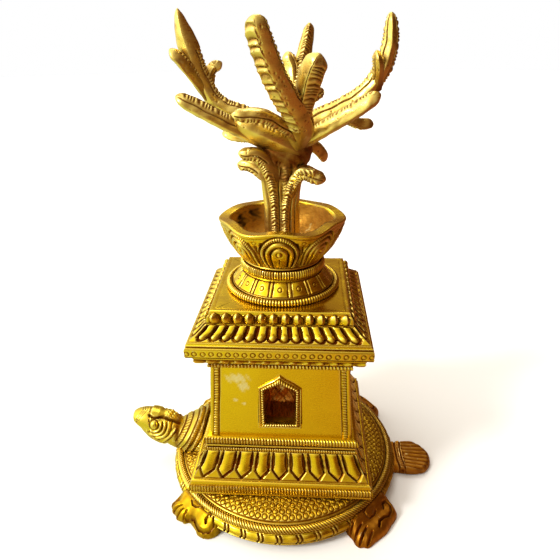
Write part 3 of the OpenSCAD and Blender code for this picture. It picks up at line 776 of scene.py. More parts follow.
def make_roof_slope():
    """Tongues that fan down the roof's slope."""
    edge, z0, z1 = extent("roof_petal_course")
    inner = half("roof_lobe_course")
    slope = rounded(offsets(edge, z0, (-0.2, -0.1), (-0.4, 0.8), (-2.2, 1.9), (-5.4, 4.2)) +
                    offsets(inner, z1, (0.3, -0.05), (-1.2, 0)), 0.9)

    def tongues(relief, x, s, z, out, side):
        rng = np.random.default_rng(90 + side)
        length = float(s.max())
        pitch = 4.95
        fan = x / out * 36.5
        foot, head = 3.2, length - 1.1
        relief.cut(s - 1.35, 0.32, 0.22, 0.8)
        for k in range(15):
            at = (k - 7) * pitch + rng.uniform(-0.2, 0.2)
            slot, t = to_segment(fan, s, (at, head - 0.2), (at, foot + 0.9))
            thick = 0.70 + 0.30 * np.sin(np.pi * np.clip(t * 0.85 + 0.1, 0, 1))
            relief.channel(slot, 0.95 * thick, 1.7 * thick, 0.6)
        for k in range(14):
            at = (k - 6.5) * pitch + rng.uniform(-0.15, 0.15)
            hang = np.hypot(fan - at, s - foot - 0.9)
            relief.channel(np.where(s < foot + 0.9, hang - 2.05, FAR), 0.36, 0.8, 0.5)
            relief.swell(notch(fan - at, 2.4) ** 0.5 * span(s, foot, head, 1.6), 0.35)
            relief.swell(notch(hang, 2.0), 0.35)

    square_course("roof_tongues_chased", "roof_petal_course", slope, tongues, POLISHED, 0.26)


def make_roof_lobes():
    """A row of round-headed lobes above the slope."""
    inner, z1 = half("roof_lobe_course"), top("roof_petal_course")
    deck, z2 = half("roof_deck"), low("roof_deck")
    face = rounded(offsets(inner, z1, (-0.2, -0.2), (-0.2, 0.5)) + offsets(deck, z1, (1.0, 1.8),
                   (0.8, 3.4)) + offsets(deck, z2, (0.1, 0.1), (-1, 0.3)), 0.6)

    def lobes(relief, x, s, z, out, side):
        rng = np.random.default_rng(100 + side)
        pitch = 5.0
        up = s - 1.3
        relief.cut(s - 0.7, 0.4, 0.4)
        for k in range(12):
            at = (k - 5.5) * pitch + rng.uniform(-0.2, 0.2)
            away = np.hypot(x - at, np.maximum(up - 1.7, 0))
            relief.cut(away - 2.15, 0.6, 0.9, where=up > -0.2)
            boss = ((x - at) / 2.15) ** 2 + ((up - 1.9) / 2.7) ** 2
            keel = 0.72 + 0.28 * np.clip(1 - np.abs(x - at) / 1.6, 0, 1)
            relief.swell(np.sqrt(np.clip(1 - boss, 0, 1)) * keel, 1.6)

    square_course("roof_lobes_chased", "roof_lobe_course", face, lobes, POLISHED, 0.25)


def make_roof_deck():
    """The flat deck, with a line cut round its border."""
    deck, z2, z3 = extent("roof_deck")
    plate = rounded(offsets(deck, z2, (-0.2, -0.2), (0, 0.3)) + offsets(deck, z3, (-0.1, -0.5), (-0.5, 0),
                    (-6, 0)) + [(1, z3)], 0.4)

    def bordered(relief, x, s, z, out, side):
        relief.cut(out - deck + 2.3, 0.22, 0.14, 0.75, where=z > z3 - 0.2)
        relief.h += np.where(z > z3 - 0.2, 0.06 * np.sin(x * 0.33) * np.sin(out * 0.29), 0)

    square_course("roof_deck_plate", "roof_deck", plate, bordered, POLISHED, 0.5)


# ---------------------------------------------------------------- tortoise shell


def nearest_in_ring(turn, radius, pitch, shift, jitter):
    """Distance along a ring to the nearest of its evenly spaced marks, moved by a hand's jitter."""
    count = int(2 * np.pi * radius / pitch)
    place = turn / (2 * np.pi) * count + shift
    index = np.round(place).astype(int) % count
    return (place - np.round(place) + jitter[index % len(jitter)]) * 2 * np.pi * radius / count


def painted_shade_to_tail(relief, x):
    """Painted shade: the tortoise turns darker and browner towards its tail."""
    relief.stain_and_shade(0.55 * smooth((x - 14) / 34))


def make_shell():
    """Domed shell with rings of punches, every other one shifted by half a punch."""
    shell = "carapace"
    edge, crown = half(shell), top(shell)
    dome = rounded(offsets(edge, crown, (-0.3, -5.4), (-0.1, -4.2), (-1.4, -2.7), (-5, -1.4), (-9.5, -0.5),
                   (-13.5, 0), (-20, 0)), 1.5)
    rows = [(edge - 2.9 - 2.75 * k, 0.5 * (k % 2)) for k in range(6)]

    def ornament(relief, turn, s, r, z):
        jitter = np.random.default_rng(110).uniform(-0.06, 0.06, 211)
        for radius, shift in rows:
            along = nearest_in_ring(turn, radius, 3.15, shift, jitter)
            relief.ring_punch(np.hypot(along, r - radius), 1.16)
        relief.cut(r - edge + 1.0, 0.45, 0.35)
        painted_shade_to_tail(relief, r * np.sin(turn))

    round_course("shell_dome_punched", shell, dome, ornament, CHASED, 0.29)


def make_underside():
    """The shell's plain hollow underside."""
    edge, foot, crown = extent("carapace")
    wall = 3.0
    floor, inner = crown - wall, edge - wall
    under = [(3.4, floor), (edge - 14, floor), (edge - 10.5, floor - 0.4), (edge - 5.5, floor - 1.3),
             (inner, floor - 2.6), (inner, foot), (edge + 0.5, foot)]

    def rough(relief, turn, s, r, z):
        relief.h += 0.12 * np.sin(turn * 23) * np.sin(s * 0.8) + 0.08 * np.sin(turn * 61 + s)
        relief.p += 0.35

    round_course("shell_underside", None, under, rough, SKIN, 1.2, 240)


def make_rope_band():
    """A twisted rope between two dark grooves, round the foot of the dome."""
    rope = "rope_band"
    outer, base, crown = extent(rope)
    centre, middle, radius = outer - 1.6, base + 0.8, 1.6
    turns = np.radians(np.arange(-25, 161, 9))
    arc = [(centre + radius * math.cos(a), middle + radius * math.sin(a)) for a in turns]
    profile = [(outer + 0.6, base - 0.2), (outer + 0.1, base - 0.1), *arc, (centre - 1.7, crown - 1.4)]

    def ornament(relief, turn, s, r, z):
        pitch = 2 * np.pi / 260
        relief.ribs(turn / pitch + 0.55 * s, 1.0, 0.38, span(s, 1.3, float(s.max()) - 0.7, 0.5))
        relief.cut(s - 0.6, 0.8, 0.35)
        relief.cut(s - float(s.max()) + 0.3, 0.9, 0.3)
        painted_shade_to_tail(relief, r * np.sin(turn))

    round_course("rope_band_twisted", rope, profile, ornament, CHASED, 0.24)


def make_rim():
    """Marginal rim: pairs of curved cuts run out from the rope to a double lip."""
    rim = "marginal_rim"
    outer, base, crown = extent(rim)
    profile = rounded(offsets(outer, base, (-5.2, 1), (-2.1, 0.1), (-0.8, 0.3), (-0.5, 1.0), (-0.9, 1.5),
                      (-0.6, 1.8), (-0.1, 2.8), (-0.4, 4.1), (-1.3, 5.2)) +
                      offsets(outer, crown, (-2.4, -0.05), (-3.4, 0)), 0.5)

    def ornament(relief, turn, s, r, z):
        jitter = np.random.default_rng(120).uniform(-0.05, 0.05, 97)
        length = float(s.max())
        middle, tall = length - 4.1, 2.9
        bow = 1.1 * (1 - ((s - middle) / tall) ** 2)
        band = span(s, middle - tall + 0.3, middle + tall - 0.5, 0.9)
        for member in (-0.95, 0.95):
            along = nearest_in_ring(turn, outer, 8.8, 0, jitter)
            away = along + member - bow
            relief.cut(away, 0.62, 0.8, where=band > 0.3)
        relief.h += 0.10 * band * np.cos(turn * 55)
        relief.cut(z - base - 1.55, 0.28, 0.25)
        painted_shade_to_tail(relief, r * np.sin(turn))

    round_course("marginal_rim_chased", rim, profile, ornament, POLISHED, 0.28)


# ---------------------------------------------------------------- lotus bowl


def make_foot_ring():
    """The corded ring that the bowl's foot stands in."""
    ring = "bowl_foot_ring"
    outer, base, crown = extent(ring)
    profile = [(outer - 1.2, base - 0.1), *bulge(outer - 1.4, base, crown, 1.4), (outer - 2.4, crown - 0.2),
               (outer - 2.7, crown - 0.9)]

    def corded(relief, turn, s, r, z):
        count = 2 * np.pi / 122
        relief.ribs(turn / count + wobble(turn * 9, 0.06, 130), 1.0, 0.4, span(s, 0.9, 4.4, 0.8))
        relief.cut(s - float(s.max()) + 0.7, 0.8, 0.3)

    round_course("bowl_foot_ring_corded", ring, profile, corded, CHASED, 0.22)


def make_bowl_foot():
    """The conical foot: sixteen panels, each with a ring punch."""
    foot = "bowl_foot"
    wide, rise, z2 = extent(foot)
    neck = half("bowl_waist")
    profile = rounded(offsets(wide, rise, (-0.3, -0.6), (-0.2, 0.2), (-1.2, 1.0)) +
                      offsets(neck, z2, (0.6, -1.6), (-1.0, -0.3), (-1.2, 0.1)), 0.8)

    def panels(relief, turn, s, r, z):
        length = float(s.max())
        part = np.pi / 8
        local = (turn + part / 2) % part - part / 2
        inside = span(s, 1.3, length - 1.0, 0.8)
        for line in (-0.85, 0.85):
            away = (local - part / 2 * np.sign(local)) * r + line
            relief.cut(away, 0.48, 0.6, where=inside > 0.05)
        relief.ring_punch(np.hypot(local * r, s - length * 0.5), 0.95)
        relief.swell(notch(local, part * 0.42) * inside, 0.3)
        relief.cut(s - 1.1, 0.3, 0.22)
        relief.cut(s - length + 1.0, 0.35, 0.3)

    round_course("bowl_foot_panelled", foot, profile, panels, CHASED, 0.24)


def make_waist():
    """A ribbed half round with a thin ring over it, between the foot and the bowl."""
    waist = "bowl_waist"
    neck, z3, z2 = half(waist), top(waist), top("bowl_foot")
    profile = [*bulge(neck - 1.5, z2, z3 - 1.2, 1.45), *bulge(neck - 2.0, z3 - 1.15, z3 + 0.1, 0.9)]

    def ribbed(relief, turn, s, r, z):
        count = 2 * np.pi / 104
        relief.ribs(turn / count + wobble(turn * 7, 0.05, 131), 1.0, 0.45, span(s, 0.9, 5.0, 0.9))
        relief.cut(z - z3 + 1.18, 0.3, 0.25)

    round_course("bowl_waist_ribbed", waist, profile, ribbed, CHASED, 0.22)


def lotus_petals(relief, turn, s, r, z):
    """Eight petals, each a hatched arch, a plain arch and a tongue with a bead, and the small
    fillers between them under the rim."""
    part = np.pi / 4
    local = ((turn + part / 2) % part - part / 2) / (part / 2)
    reach, crown = 9.4, 10.4
    side = np.abs(local) / 0.90 * (1 + 0.16 * np.clip(1 - s / crown, 0, 1) ** 2)
    arch = np.where(s > crown, np.hypot(local / 0.90, (s - crown) / 9.0), side)
    foot = smooth((s - 0.6) / 0.8)
    where = foot * (s < 20)

    def line(level, width, depth):
        relief.cut((arch - level) * reach, width, depth, where=where > 0.1)

    lean = np.arctan2((s - crown) / 9.0, np.abs(local) + 0.02)
    along = np.where(s > crown, lean * 9.0 + 2.0, (s - crown) + 2.0)
    band = span(arch, 0.80, 0.99, 0.06) * where
    relief.ribs(along, 1.0, 0.34, band)
    relief.swell(notch(arch - 0.62, 0.15) * where, 0.5)
    relief.swell(span(arch, -0.5, 0.40, 0.16) * where, 0.42)
    line(1.0, 0.80, 1.2)
    line(0.76, 0.74, 1.2)
    line(0.45, 0.70, 1.2)
    between = smooth((arch - 1.04) / 0.10) * span(s, 1.0, 15.5, 2.0)
    relief.h -= 0.5 * between
    relief.stain_and_shade(0.7 * between)
    relief.swell(notch(np.hypot(local * reach, s - 11.4), 1.15), 0.75)
    relief.cut(np.hypot(local * reach, s - 11.4) - 1.25, 0.3, 0.3)
    slot, t = to_segment(local * reach, s, (0, 3.5), (0, 8.8))
    relief.cut(slot + 0.25 * (1 - t), 0.42, 0.5)
    gap = (1 - np.abs(local)) * 9.8
    relief.ring_punch(np.hypot(gap, s - 17.2), 0.8)
    for a, b in (((1.5, 13.6), (2.6, 16.8)), ((0.0, 11.0), (0.0, 15.4))):
        away, t = to_segment(gap, s, a, b)
        relief.cut(away, 0.35 + 0.4 * t, 0.8)
    relief.cut(s - 19.2, 0.35, 0.2, 0.7)


def six_sided(turn, z):
    """The bowl's mouth has six soft sides, lowest at their corners, with a corner to each hand."""
    foot, crown = low("lotus_bowl") + 3, top("lotus_bowl")
    drawn_in = 0.5 + 0.5 * np.cos(6 * turn)
    level = smooth((z - foot) / (crown - foot))
    return 1 - 0.06 * drawn_in * level, (0.5 + 1.1 * drawn_in) * level


def make_bowl():
    """The bowl's carved outside and its plain lip."""
    bowl = "lotus_bowl"
    wide, base, crown = extent(bowl)
    outer = rounded([(17.4, base - 0.1), (19.6, base + 1.6)] + offsets(wide, base, (-5.4, 6.4), (-2.7, 11)) +
                    offsets(wide, crown, (-0.6, -1.6), (-0.1, -0.4), (-0.6, 0), (-2.6, -0.05),
                            (-5.0, -0.05), (-5.9, -0.7)), 0.9)

    def carved(relief, turn, s, r, z):
        lotus_petals(relief, turn, s, r, z)
        below_lip = s < 21
        relief.h *= below_lip
        relief.p *= 0.8 * below_lip

    round_course("lotus_bowl_carved", bowl, outer, carved, CHASED, 0.24, plan=six_sided)


def make_bowl_lining():
    """The bowl's rough inside, with two sooty marks at the left of its back."""
    wide, crown = half("lotus_bowl"), top("lotus_bowl")
    inner = rounded(offsets(wide, crown, (-5.7, -0.4), (-6.3, -2.2), (-7.3, -5.1), (-10.2, -9.3),
                            (-14.2, -11.2), (-17, -11.7)) + [(9.0, crown - 11.7)], 1.5)

    def cast(relief, turn, s, r, z):
        relief.h += 0.10 * np.sin(turn * 13 + s * 0.6) * np.sin(s * 0.9 + 1) + 0.06 * np.sin(turn * 37 + s)
        blur = 0.4 * np.sin(turn * 17 + 1.4 * np.sin(s * 1.3)) * np.sin(s * 1.5 + turn * 8)
        soot = np.hypot((turn - 4.35) * 17, s - 5.0) / 4.2 + blur
        more = np.hypot((turn - 3.90) * 17, s - 4.0) / 3.4 - blur
        relief.p += smooth(1.15 - np.minimum(soot, more)) + 0.12 * smooth((s - 10) / 6)

    round_course("lotus_bowl_inside", None, inner, cast, WARM, 0.4, plan=six_sided)


# ---------------------------------------------------------------- tree


def through(stations, steps):
    """A smooth run that passes through every station."""
    p = np.array([stations[0], *stations, stations[-1]], float)
    t = np.linspace(0, 1, steps, endpoint=False)[:, None]
    runs = []
    for a, b, c, d in zip(p, p[1:], p[2:], p[3:]):
        runs.append(0.5 * (2 * b + (c - a) * t + (2 * a - 5 * b + 4 * c - d) * t**2
                           + (3 * b - a - 3 * c + d) * t**3))
    return np.concatenate([*runs, p[-1:]])


def limb(name, stations, side, ornament, material, step, around, square=2.0, blunt=1.0):
    """A limb swept through stations (place, half width, half thickness). The ornament is a relief
    from u (mm along), a (angle round it, 0 on its side direction), points and outward normals."""
    fine = through(stations, 60)
    reach = lengths(fine[:, :3])
    count = int(reach[-1] / step)
    point = 3.0 * blunt
    close = reach[-1] - point * (1 - np.linspace(0, 1, 9)) ** 2
    u = np.unique(np.concatenate([np.linspace(0, close[0], count), close]))
    run = np.stack([np.interp(u, reach, fine[:, k]) for k in range(5)], axis=1)
    ahead = np.gradient(run[:, :3], u, axis=0)
    ahead /= np.linalg.norm(ahead, axis=1)[:, None]
    across = np.array(side, float) - (ahead @ np.array(side, float))[:, None] * ahead
    across /= np.linalg.norm(across, axis=1)[:, None]
    over = np.cross(ahead, across)
    tip = np.sqrt(np.clip(1 - ((u - u[-1] + point) / point).clip(0) ** 2, 0.0, 1))
    a = np.arange(around) * 2 * np.pi / around
    c = np.sign(np.cos(a)) * np.abs(np.cos(a)) ** (2 / square)
    d = np.sign(np.sin(a)) * np.abs(np.sin(a)) ** (2 / square)
    wide, thick = (run[:, 3] * tip)[:, None], (run[:, 4] * tip)[:, None]
    across, over = across[:, None], over[:, None]
    spot = run[:, None, :3] + across * (wide * c)[..., None] + over * (thick * d)[..., None]
    normal = across * (thick * np.cos(a))[..., None] + over * (wide * np.sin(a))[..., None]
    normal /= np.linalg.norm(normal, axis=2)[..., None] + 1e-9
    relief = Relief(normal.shape[:2])
    ornament(relief, *np.broadcast_arrays(u[:, None], a), spot, normal)
    spot = spot + normal * (relief.h * tip[:, None] ** 0.5)[..., None]
    points = np.concatenate([spot.reshape(-1, 3), run[:1, :3], spot[-1].mean(axis=0)[None]])
    faces = grid_faces(len(u), around, wrap=True)
    first, last, end = len(points) - 2, len(points) - 1, (len(u) - 1) * around
    for k in range(around):
        n = (k + 1) % around
        faces.append([first, n, k])
        faces.append([last, end + k, end + n])
    patina_and_shade = np.concatenate([relief.p.reshape(-1), [0, 0]])
    return mesh_object(name, points, faces, patina_and_shade, material, 50)


def turn_to(a, degrees):
    """Signed angle from a direction round the limb."""
    return (a - math.radians(degrees) + np.pi) % (2 * np.pi) - np.pi


def leaf_relief(size, crimps, lines, seed, ridge=None, pits=0.0, commas=None, start=6.0, end=1.2):
    """Ornament of a leaf or an arm: rows of short cuts along its edges, long lines beside them,
    and a few casting pits. Each crimp is (direction, half angle, pitch)."""

    def ornament(relief, u, a, spot, normal):
        rng = np.random.default_rng(seed)
        length = float(u.max())
        body = span(u, start, length - end, 2.0)
        hand = u + 0.5 * np.sin(u * 0.9 + seed)
        for direction, spread, pitch in crimps:
            away = turn_to(a, direction)
            lane = np.clip(1 - (np.abs(away) / math.radians(spread)) ** 4, 0, 1) * body
            wave = ripple(hand + 0.9 * np.abs(away), pitch)
            relief.h -= 0.5 * lane * (1 - wave) ** 1.6
            relief.stain_and_shade(1.0 * lane * (1 - wave) ** 1.8)
        for direction in lines:
            away = turn_to(a, direction) * size
            relief.cut(away + 0.15 * np.sin(u * 0.7), 0.42, 0.5, where=body > 0.3)
        if ridge is not None:
            relief.swell(notch(turn_to(a, ridge), 0.9) * body, 0.6)
        for direction, spread, pitch in commas or []:
            away = turn_to(a, direction)
            bow = 0.9 * (1 - (away / math.radians(spread)) ** 2)
            cell = (hand - 1.2 * bow) / pitch
            lane = np.clip(1 - (np.abs(away) / math.radians(spread)) ** 6, 0, 1) * body
            wave = 1 - np.abs((cell % 1) - 0.5) * 2
            relief.h += 1.3 * lane * (wave**0.6 - 0.6)
            relief.stain_and_shade(1.0 * lane * (1 - wave) ** 1.5)
        for _ in range(int(pits * length)):
            at, way = rng.uniform(start, length), rng.uniform(0, 2 * np.pi)
            gap = np.hypot(u - at, ((a - way + np.pi) % (2 * np.pi) - np.pi) * size)
            relief.cut(gap, rng.uniform(0.25, 0.6), 0.35, 0.8)
        # the file's flats and the casting's unevenness
        relief.h += 0.10 * np.sin(u * 0.8 + 3 * a) * np.sin(u * 0.33 + seed)
        # patina and painted shade, darker towards each root where it meets the tree
        relief.stain_and_shade(0.85 * (1 - smooth(u / (start + 6))))
        streak = np.sin(u * 0.6 + seed) * np.sin(2 * a + u * 0.25 + seed)
        relief.stain_and_shade(0.5 * np.clip(streak, 0, 1) ** 2)

    return ornament


# Arms, as (place over the trunk's shoulder, half width, half thickness)
LEFT_ARM = [[2, 0, 40.6, 5, 5.4], [-8, 0, 49.6, 4.6, 5.2], [-17, 0, 54.4, 4.2, 4.4],
            [-23.2, 0, 57, 4.0, 4.0], [-28.4, 0, 61.6, 4.0, 3.8], [-33.4, 0, 71.2, 3.8, 4.2],
            [-36.2, 0, 79.6, 3.6, 4.4], [-37.6, 0, 84.0, 3.2, 3.8], [-38.8, 0, 89.0, 2.4, 2.4],
            [-39.6, 0, 93.4, 1.2, 0.9]]
RIGHT_ARM = [[2, 0, 40.6, 5, 5.4], [9, 0, 48.8, 4.6, 5], [17, 0, 53.4, 4.2, 4.2], [26, 0, 57.6, 4, 4],
             [34, 0, 63, 4, 3.8], [39.8, 0, 70.6, 3.8, 3.9], [42.2, 0, 78.6, 3.4, 3.6],
             [42.4, 0, 85.2, 2.8, 3.0], [41.9, 0, 91, 1.6, 1.7]]
FRONT_ARM = [[1, 0, 38, 4.4, 3.4], [5.6, -6, 42.2, 4.4, 3.6], [8.4, -13.4, 49.6, 5.2, 4.2],
             [7.2, -20.6, 56.6, 5.6, 4.2], [3.4, -26.4, 62.8, 5.3, 3.8], [-0.3, -30, 70, 4.9, 3.4],
             [-3.4, -33.2, 78.2, 4.7, 3.1], [-5.3, -35.0, 84.6, 4.3, 2.7],
             [-6.1, -35.8, 89.4, 3.5, 2.2]]
BACK_ARM = [[2, 2, 38.6, 5.4, 5], [3.6, 12, 48.6, 5, 4.4], [5, 22, 59.6, 4.2, 3.8],
            [7.2, 28.4, 69, 3.8, 3.4], [9.4, 33, 78.6, 3.2, 3], [10.8, 35.6, 86, 2.4, 2.2],
            [11, 36, 88.8, 1.5, 1.4]]
TRUNK = [[0, 0, -0.4, 8.2, 7.8], [0, 0, 8.6, 7.8, 7.4], [0, 0, 17.6, 7.8, 7.2], [0, 0, 25.6, 8.6, 7.6],
         [0.6, 0, 33.6, 10.2, 9.0], [1.6, 0, 40.6, 11.4, 10.2], [2, 0, 46.6, 9.2, 8.6],
         [2, 0, 50.6, 4, 4]]

# Leaves: root, swelling and tip over the shoulder, half width and thickness there, side direction,
# and the edge direction (degrees) that carries the short cuts
LEAVES = {
    "left_branch_leaves": [
        ([-29, 0, 60.6], [-37, -4.4, 73.2], [-42.6, -6, 79.2], 3.8, 2.6, [0.4, 1, 0], 90),
        ([-30, 0, 64.6], [-28.6, 4.6, 71.2], [-24.4, 6, 74], 3.4, 2.4, [0, 1, 0.6], -90),
        ([-4, -5, 42.6], [-24, -11, 54], [-40, -13.6, 62.8], 4.6, 3.6, [0, 1, 0.4], -90),
        ([-8, 0, 44.6], [-18.6, 2, 45], [-25.4, 4.4, 46.6], 3.6, 2.4, [0, 1, 0.4], 120),
    ],
    "right_branch_leaves": [
        ([38, 0, 63.6], [38, -4, 71.2], [36.8, -5.4, 78], 3.4, 2.4, [0, 1, 0], 90),
        ([8, -6, 43.6], [27.4, -12, 56], [38.4, -13.6, 63.2], 4.6, 3.4, [0, 1, 0.4], -90),
        ([22, 0, 54.6], [31.8, 2, 50.2], [38.4, 4.4, 49.8], 3.6, 2.4, [0, 1, 0.4], -120),
        ([8, 2, 44.6], [15.6, 9.6, 38.2], [19.4, 12.4, 32.8], 3.6, 2.6, [0, 1, 1], -120),
    ],
    "front_branch_leaves": [
        ([7.4, -17, 51.6], [11.4, -26.6, 68.6], [15, -30, 77.6], 4.6, 3.4, [1, -0.4, 0], -42),
        ([8, -12, 46.6], [-4, -20.4, 55.6], [-17, -24.4, 57.2], 3.4, 2.6, [0, 1, 1], 180),
        ([8, -6, 41.0], [-5, -9.0, 48.0], [-18, -9.6, 53.6], 5.4, 6.2, [0, 1, 0.2], 60),
    ],
    "back_branch_leaves": [
        ([5, 20, 57.6], [3.6, 26.4, 69.6], [1.2, 29, 77.2], 3.4, 2.4, [1, 0, 0], 0),
        ([5, 18, 54.6], [12.2, 24, 58.6], [17.6, 28, 61.6], 3.4, 2.4, [0, 1, 1], 180),
    ],
    "trunk_leaves": [
        ([-1, -6, 29.6], [-8, -9.6, 39], [-17, -11.4, 40.6], 3.4, 2.6, [0, 1, 1], 180),
        ([-6, 1, 26.6], [-13.4, 4, 31.8], [-20, 6, 32.6], 3.2, 2.4, [0, 1, 1], 180),
        ([3, -6, 21.6], [8.4, -9, 31.8], [18.8, -10.6, 29.4], 3.8, 2.8, [0, 1, 1], 180),
        ([1, 6, 26.6], [2, 12, 34.6], [0, 18, 37.2], 3.4, 2.4, [1, 0, 0], 0),
    ],
}


# Two cords climb the trunk's front and run out on to its front leaves: stations, side direction and
# the direction (degrees) that faces front
CORDS = [
    ([[-2.7, -6.9, 1.5, 1.9, 1.5], [-2.7, -7.0, 12, 1.9, 1.6], [-3.1, -7.5, 22, 2.0, 1.7],
      [-4.6, -8.6, 30, 2.2, 1.8], [-8.6, -10.2, 37.8, 2.3, 1.8], [-14, -11.6, 41.2, 2.2, 1.6]],
     (1, 0, 1), -90),
    ([[1.7, -6.9, 1.5, 1.9, 1.5], [1.7, -7.0, 11, 1.9, 1.6], [2.2, -7.5, 18, 2.0, 1.7],
      [4.4, -8.8, 26, 2.2, 1.8], [8.6, -10.4, 32.0, 2.3, 1.8], [14.6, -11.6, 32.0, 2.2, 1.6]],
     (-1, 0, 1), 90),
]


def lifted(stations, shoulder):
    return [[x, y, z + shoulder, w, t] for x, y, z, w, t in stations]


def trunk_cords(relief, u, a, spot, normal):
    """Upright cords on the trunk's front and back, which spread as it widens."""
    spread = 1 + 0.35 * smooth((u - 15) / 14)
    x = spot[..., 0] / spread
    y_face = smooth((np.abs(normal[..., 1]) - 0.25) / 0.2)
    shaft = 1 - smooth((u - 33) / 5)
    where = y_face * shaft
    lines = [(-5.2, 0.5), (-1.0, 0.45), (0.1, 0.3), (3.4, 0.5), (5.8, 0.3)]
    for at, width in lines:
        relief.cut(x - at, width, 0.75, where=where > 0.1)
    hand = u + 0.2 * np.sin(u * 1.7)
    relief.ribs(hand + 0.25 * (x + 2.6), 0.95, 0.35, span(x, -4.1, -1.1, 0.5) * where)
    relief.ribs(hand + 0.8 * np.abs(x - 1.8), 1.35, 0.42, span(x, 0.3, 3.1, 0.5) * where)
    cords = sum(notch(x - at, wide) for at, wide in ((-2.6, 1.9), (1.7, 1.8), (-6.6, 1.5), (4.5, 1.2)))
    relief.swell(cords * where, 0.75)
    edge = (1 - y_face) * shaft
    relief.cut(spot[..., 1] + 1.5 * np.sign(normal[..., 0]), 0.4, 0.35, where=edge > 0.5)
    relief.p *= 0.6
    hub = smooth((u - 25) / 5)
    relief.h += hub * 0.35 * np.sin(u * 1.1 + 4 * a) * np.sin(5 * a + u * 0.5)
    # painted shade on the hub's faces that do not face upwards
    relief.stain_and_shade(0.85 * hub * (normal[..., 2] < 0.6))


def make_tree():
    """Trunk, four arms and their leaves, all cast as one and lifted out together."""
    shoulder = low("trunk") + 9.5
    piece = limb("trunk_corded", lifted(TRUNK, shoulder), (1, 0, 0), trunk_cords, CAST, 0.3, 170, 2.4, 0.6)
    settle(piece, "tree", "trunk")
    for k, (stations, side, front) in enumerate(CORDS):
        ornament = leaf_relief(2, [(front, 62, 1.4)], [front - 75, front + 75], 240 + k, start=1.0)
        piece = limb(f"trunk_cord_{k + 1}", lifted(stations, shoulder), side, ornament, CAST, 0.3, 60,
                     blunt=0.5)
        settle(piece, "tree", None)
    make_tang()
    arms = {
        "left_branch": (LEFT_ARM, (0, 1, 0.2), leaf_relief(4, [(-90, 40, 1.6), (90, 26, 1.9)], [-128], 201,
                                                           pits=0.25, start=16, end=16)),
        "right_branch": (RIGHT_ARM, (0, 1, 0.2), leaf_relief(4, [(-90, 40, 1.5), (90, 30, 1.8)], [-135, 138],
                                                             202, ridge=180, pits=0.35, start=14)),
        "front_branch": (FRONT_ARM, (1, -0.2, 0.2), leaf_relief(4.6, [(0, 26, 1.7)], [-20], 203, pits=2.4,
                                                                commas=[(-128, 46, 3.1)], start=24)),
        "back_branch": (BACK_ARM, (1, 0, 0), leaf_relief(3.4, [(-90, 55, 1.5)], [-20, -160], 204, ridge=-90,
                                                         pits=0.3, start=14)),
    }
    for node, (stations, side, ornament) in arms.items():
        around = 120 if node == "front_branch" else 96
        piece = limb(node + "_cut", lifted(stations, shoulder), side, ornament, CAST, 0.32, around, 1.45)
        settle(piece, "tree", node)
    for node, leaves in LEAVES.items():
        for k, (root, by, tip, w, t, side, edge) in enumerate(leaves):
            root, by, tip = (np.array(p, float) for p in (root, by, tip))
            run = [[*root, w * 0.75, t], [*by, w, t], [*((by + 2 * tip) / 3), w * 0.95, t * 0.9],
                   [*tip, w * 0.62, t * 0.55]]
            crimps, lines = [(edge, 36, 1.55), (edge + 180, 26, 1.6)], [edge + 44, edge - 48]
            start = 9 if node == "trunk_leaves" and k == 0 else 5
            ornament = leaf_relief(w, crimps, lines, 210 + k, pits=0.25, start=start)
            piece = limb(f"{node}_{k + 1}", lifted(run, shoulder), side, ornament, CAST, 0.3, 84, 1.4)
            settle(piece, "tree", node if k == 0 else None)


def make_tang():
    """The trunk's square tang, a plain block with rounded edges."""
    name, tall, wide, round_off = "trunk_tang", 9.5, 7.9, 0.4
    size, centre = (wide, wide, tall), (0, 0, low("trunk") + tall / 2)
    data = bpy.data.meshes.new(name)
    bm = bmesh.new()
    bmesh.ops.create_cube(bm, size=1)
    bmesh.ops.scale(bm, vec=[v * MM for v in size], verts=bm.verts)
    bmesh.ops.translate(bm, vec=[v * MM for v in centre], verts=bm.verts)
    bmesh.ops.bevel(bm, geom=bm.edges, offset=round_off * MM, segments=3, affect="EDGES", profile=0.5)
    bm.to_mesh(data)
    bm.free()
    data.materials.append(SKIN)
    piece = put(name, data)
    settle(piece, "tree", None)


# ---------------------------------------------------------------- head, feet and tail


def to_path(x, y, path):
    """Distance from points to a run of segments."""
    return np.min([to_segment(x, y, a, b)[0] for a, b in zip(path, path[1:])], axis=0)


def closed_curve(corners, count):
    """Evenly spaced points on a smooth closed curve through the corners."""
    p = np.array(corners, float)
    ring = through(np.concatenate([p[-2:], p, p[:2]]), 24)[48:-48]
    reach = lengths(ring)
    marks = np.linspace(0, reach[-1], count, endpoint=False)
    return np.stack([np.interp(marks, reach, ring[:, k]) for k in (0, 1)], axis=1)


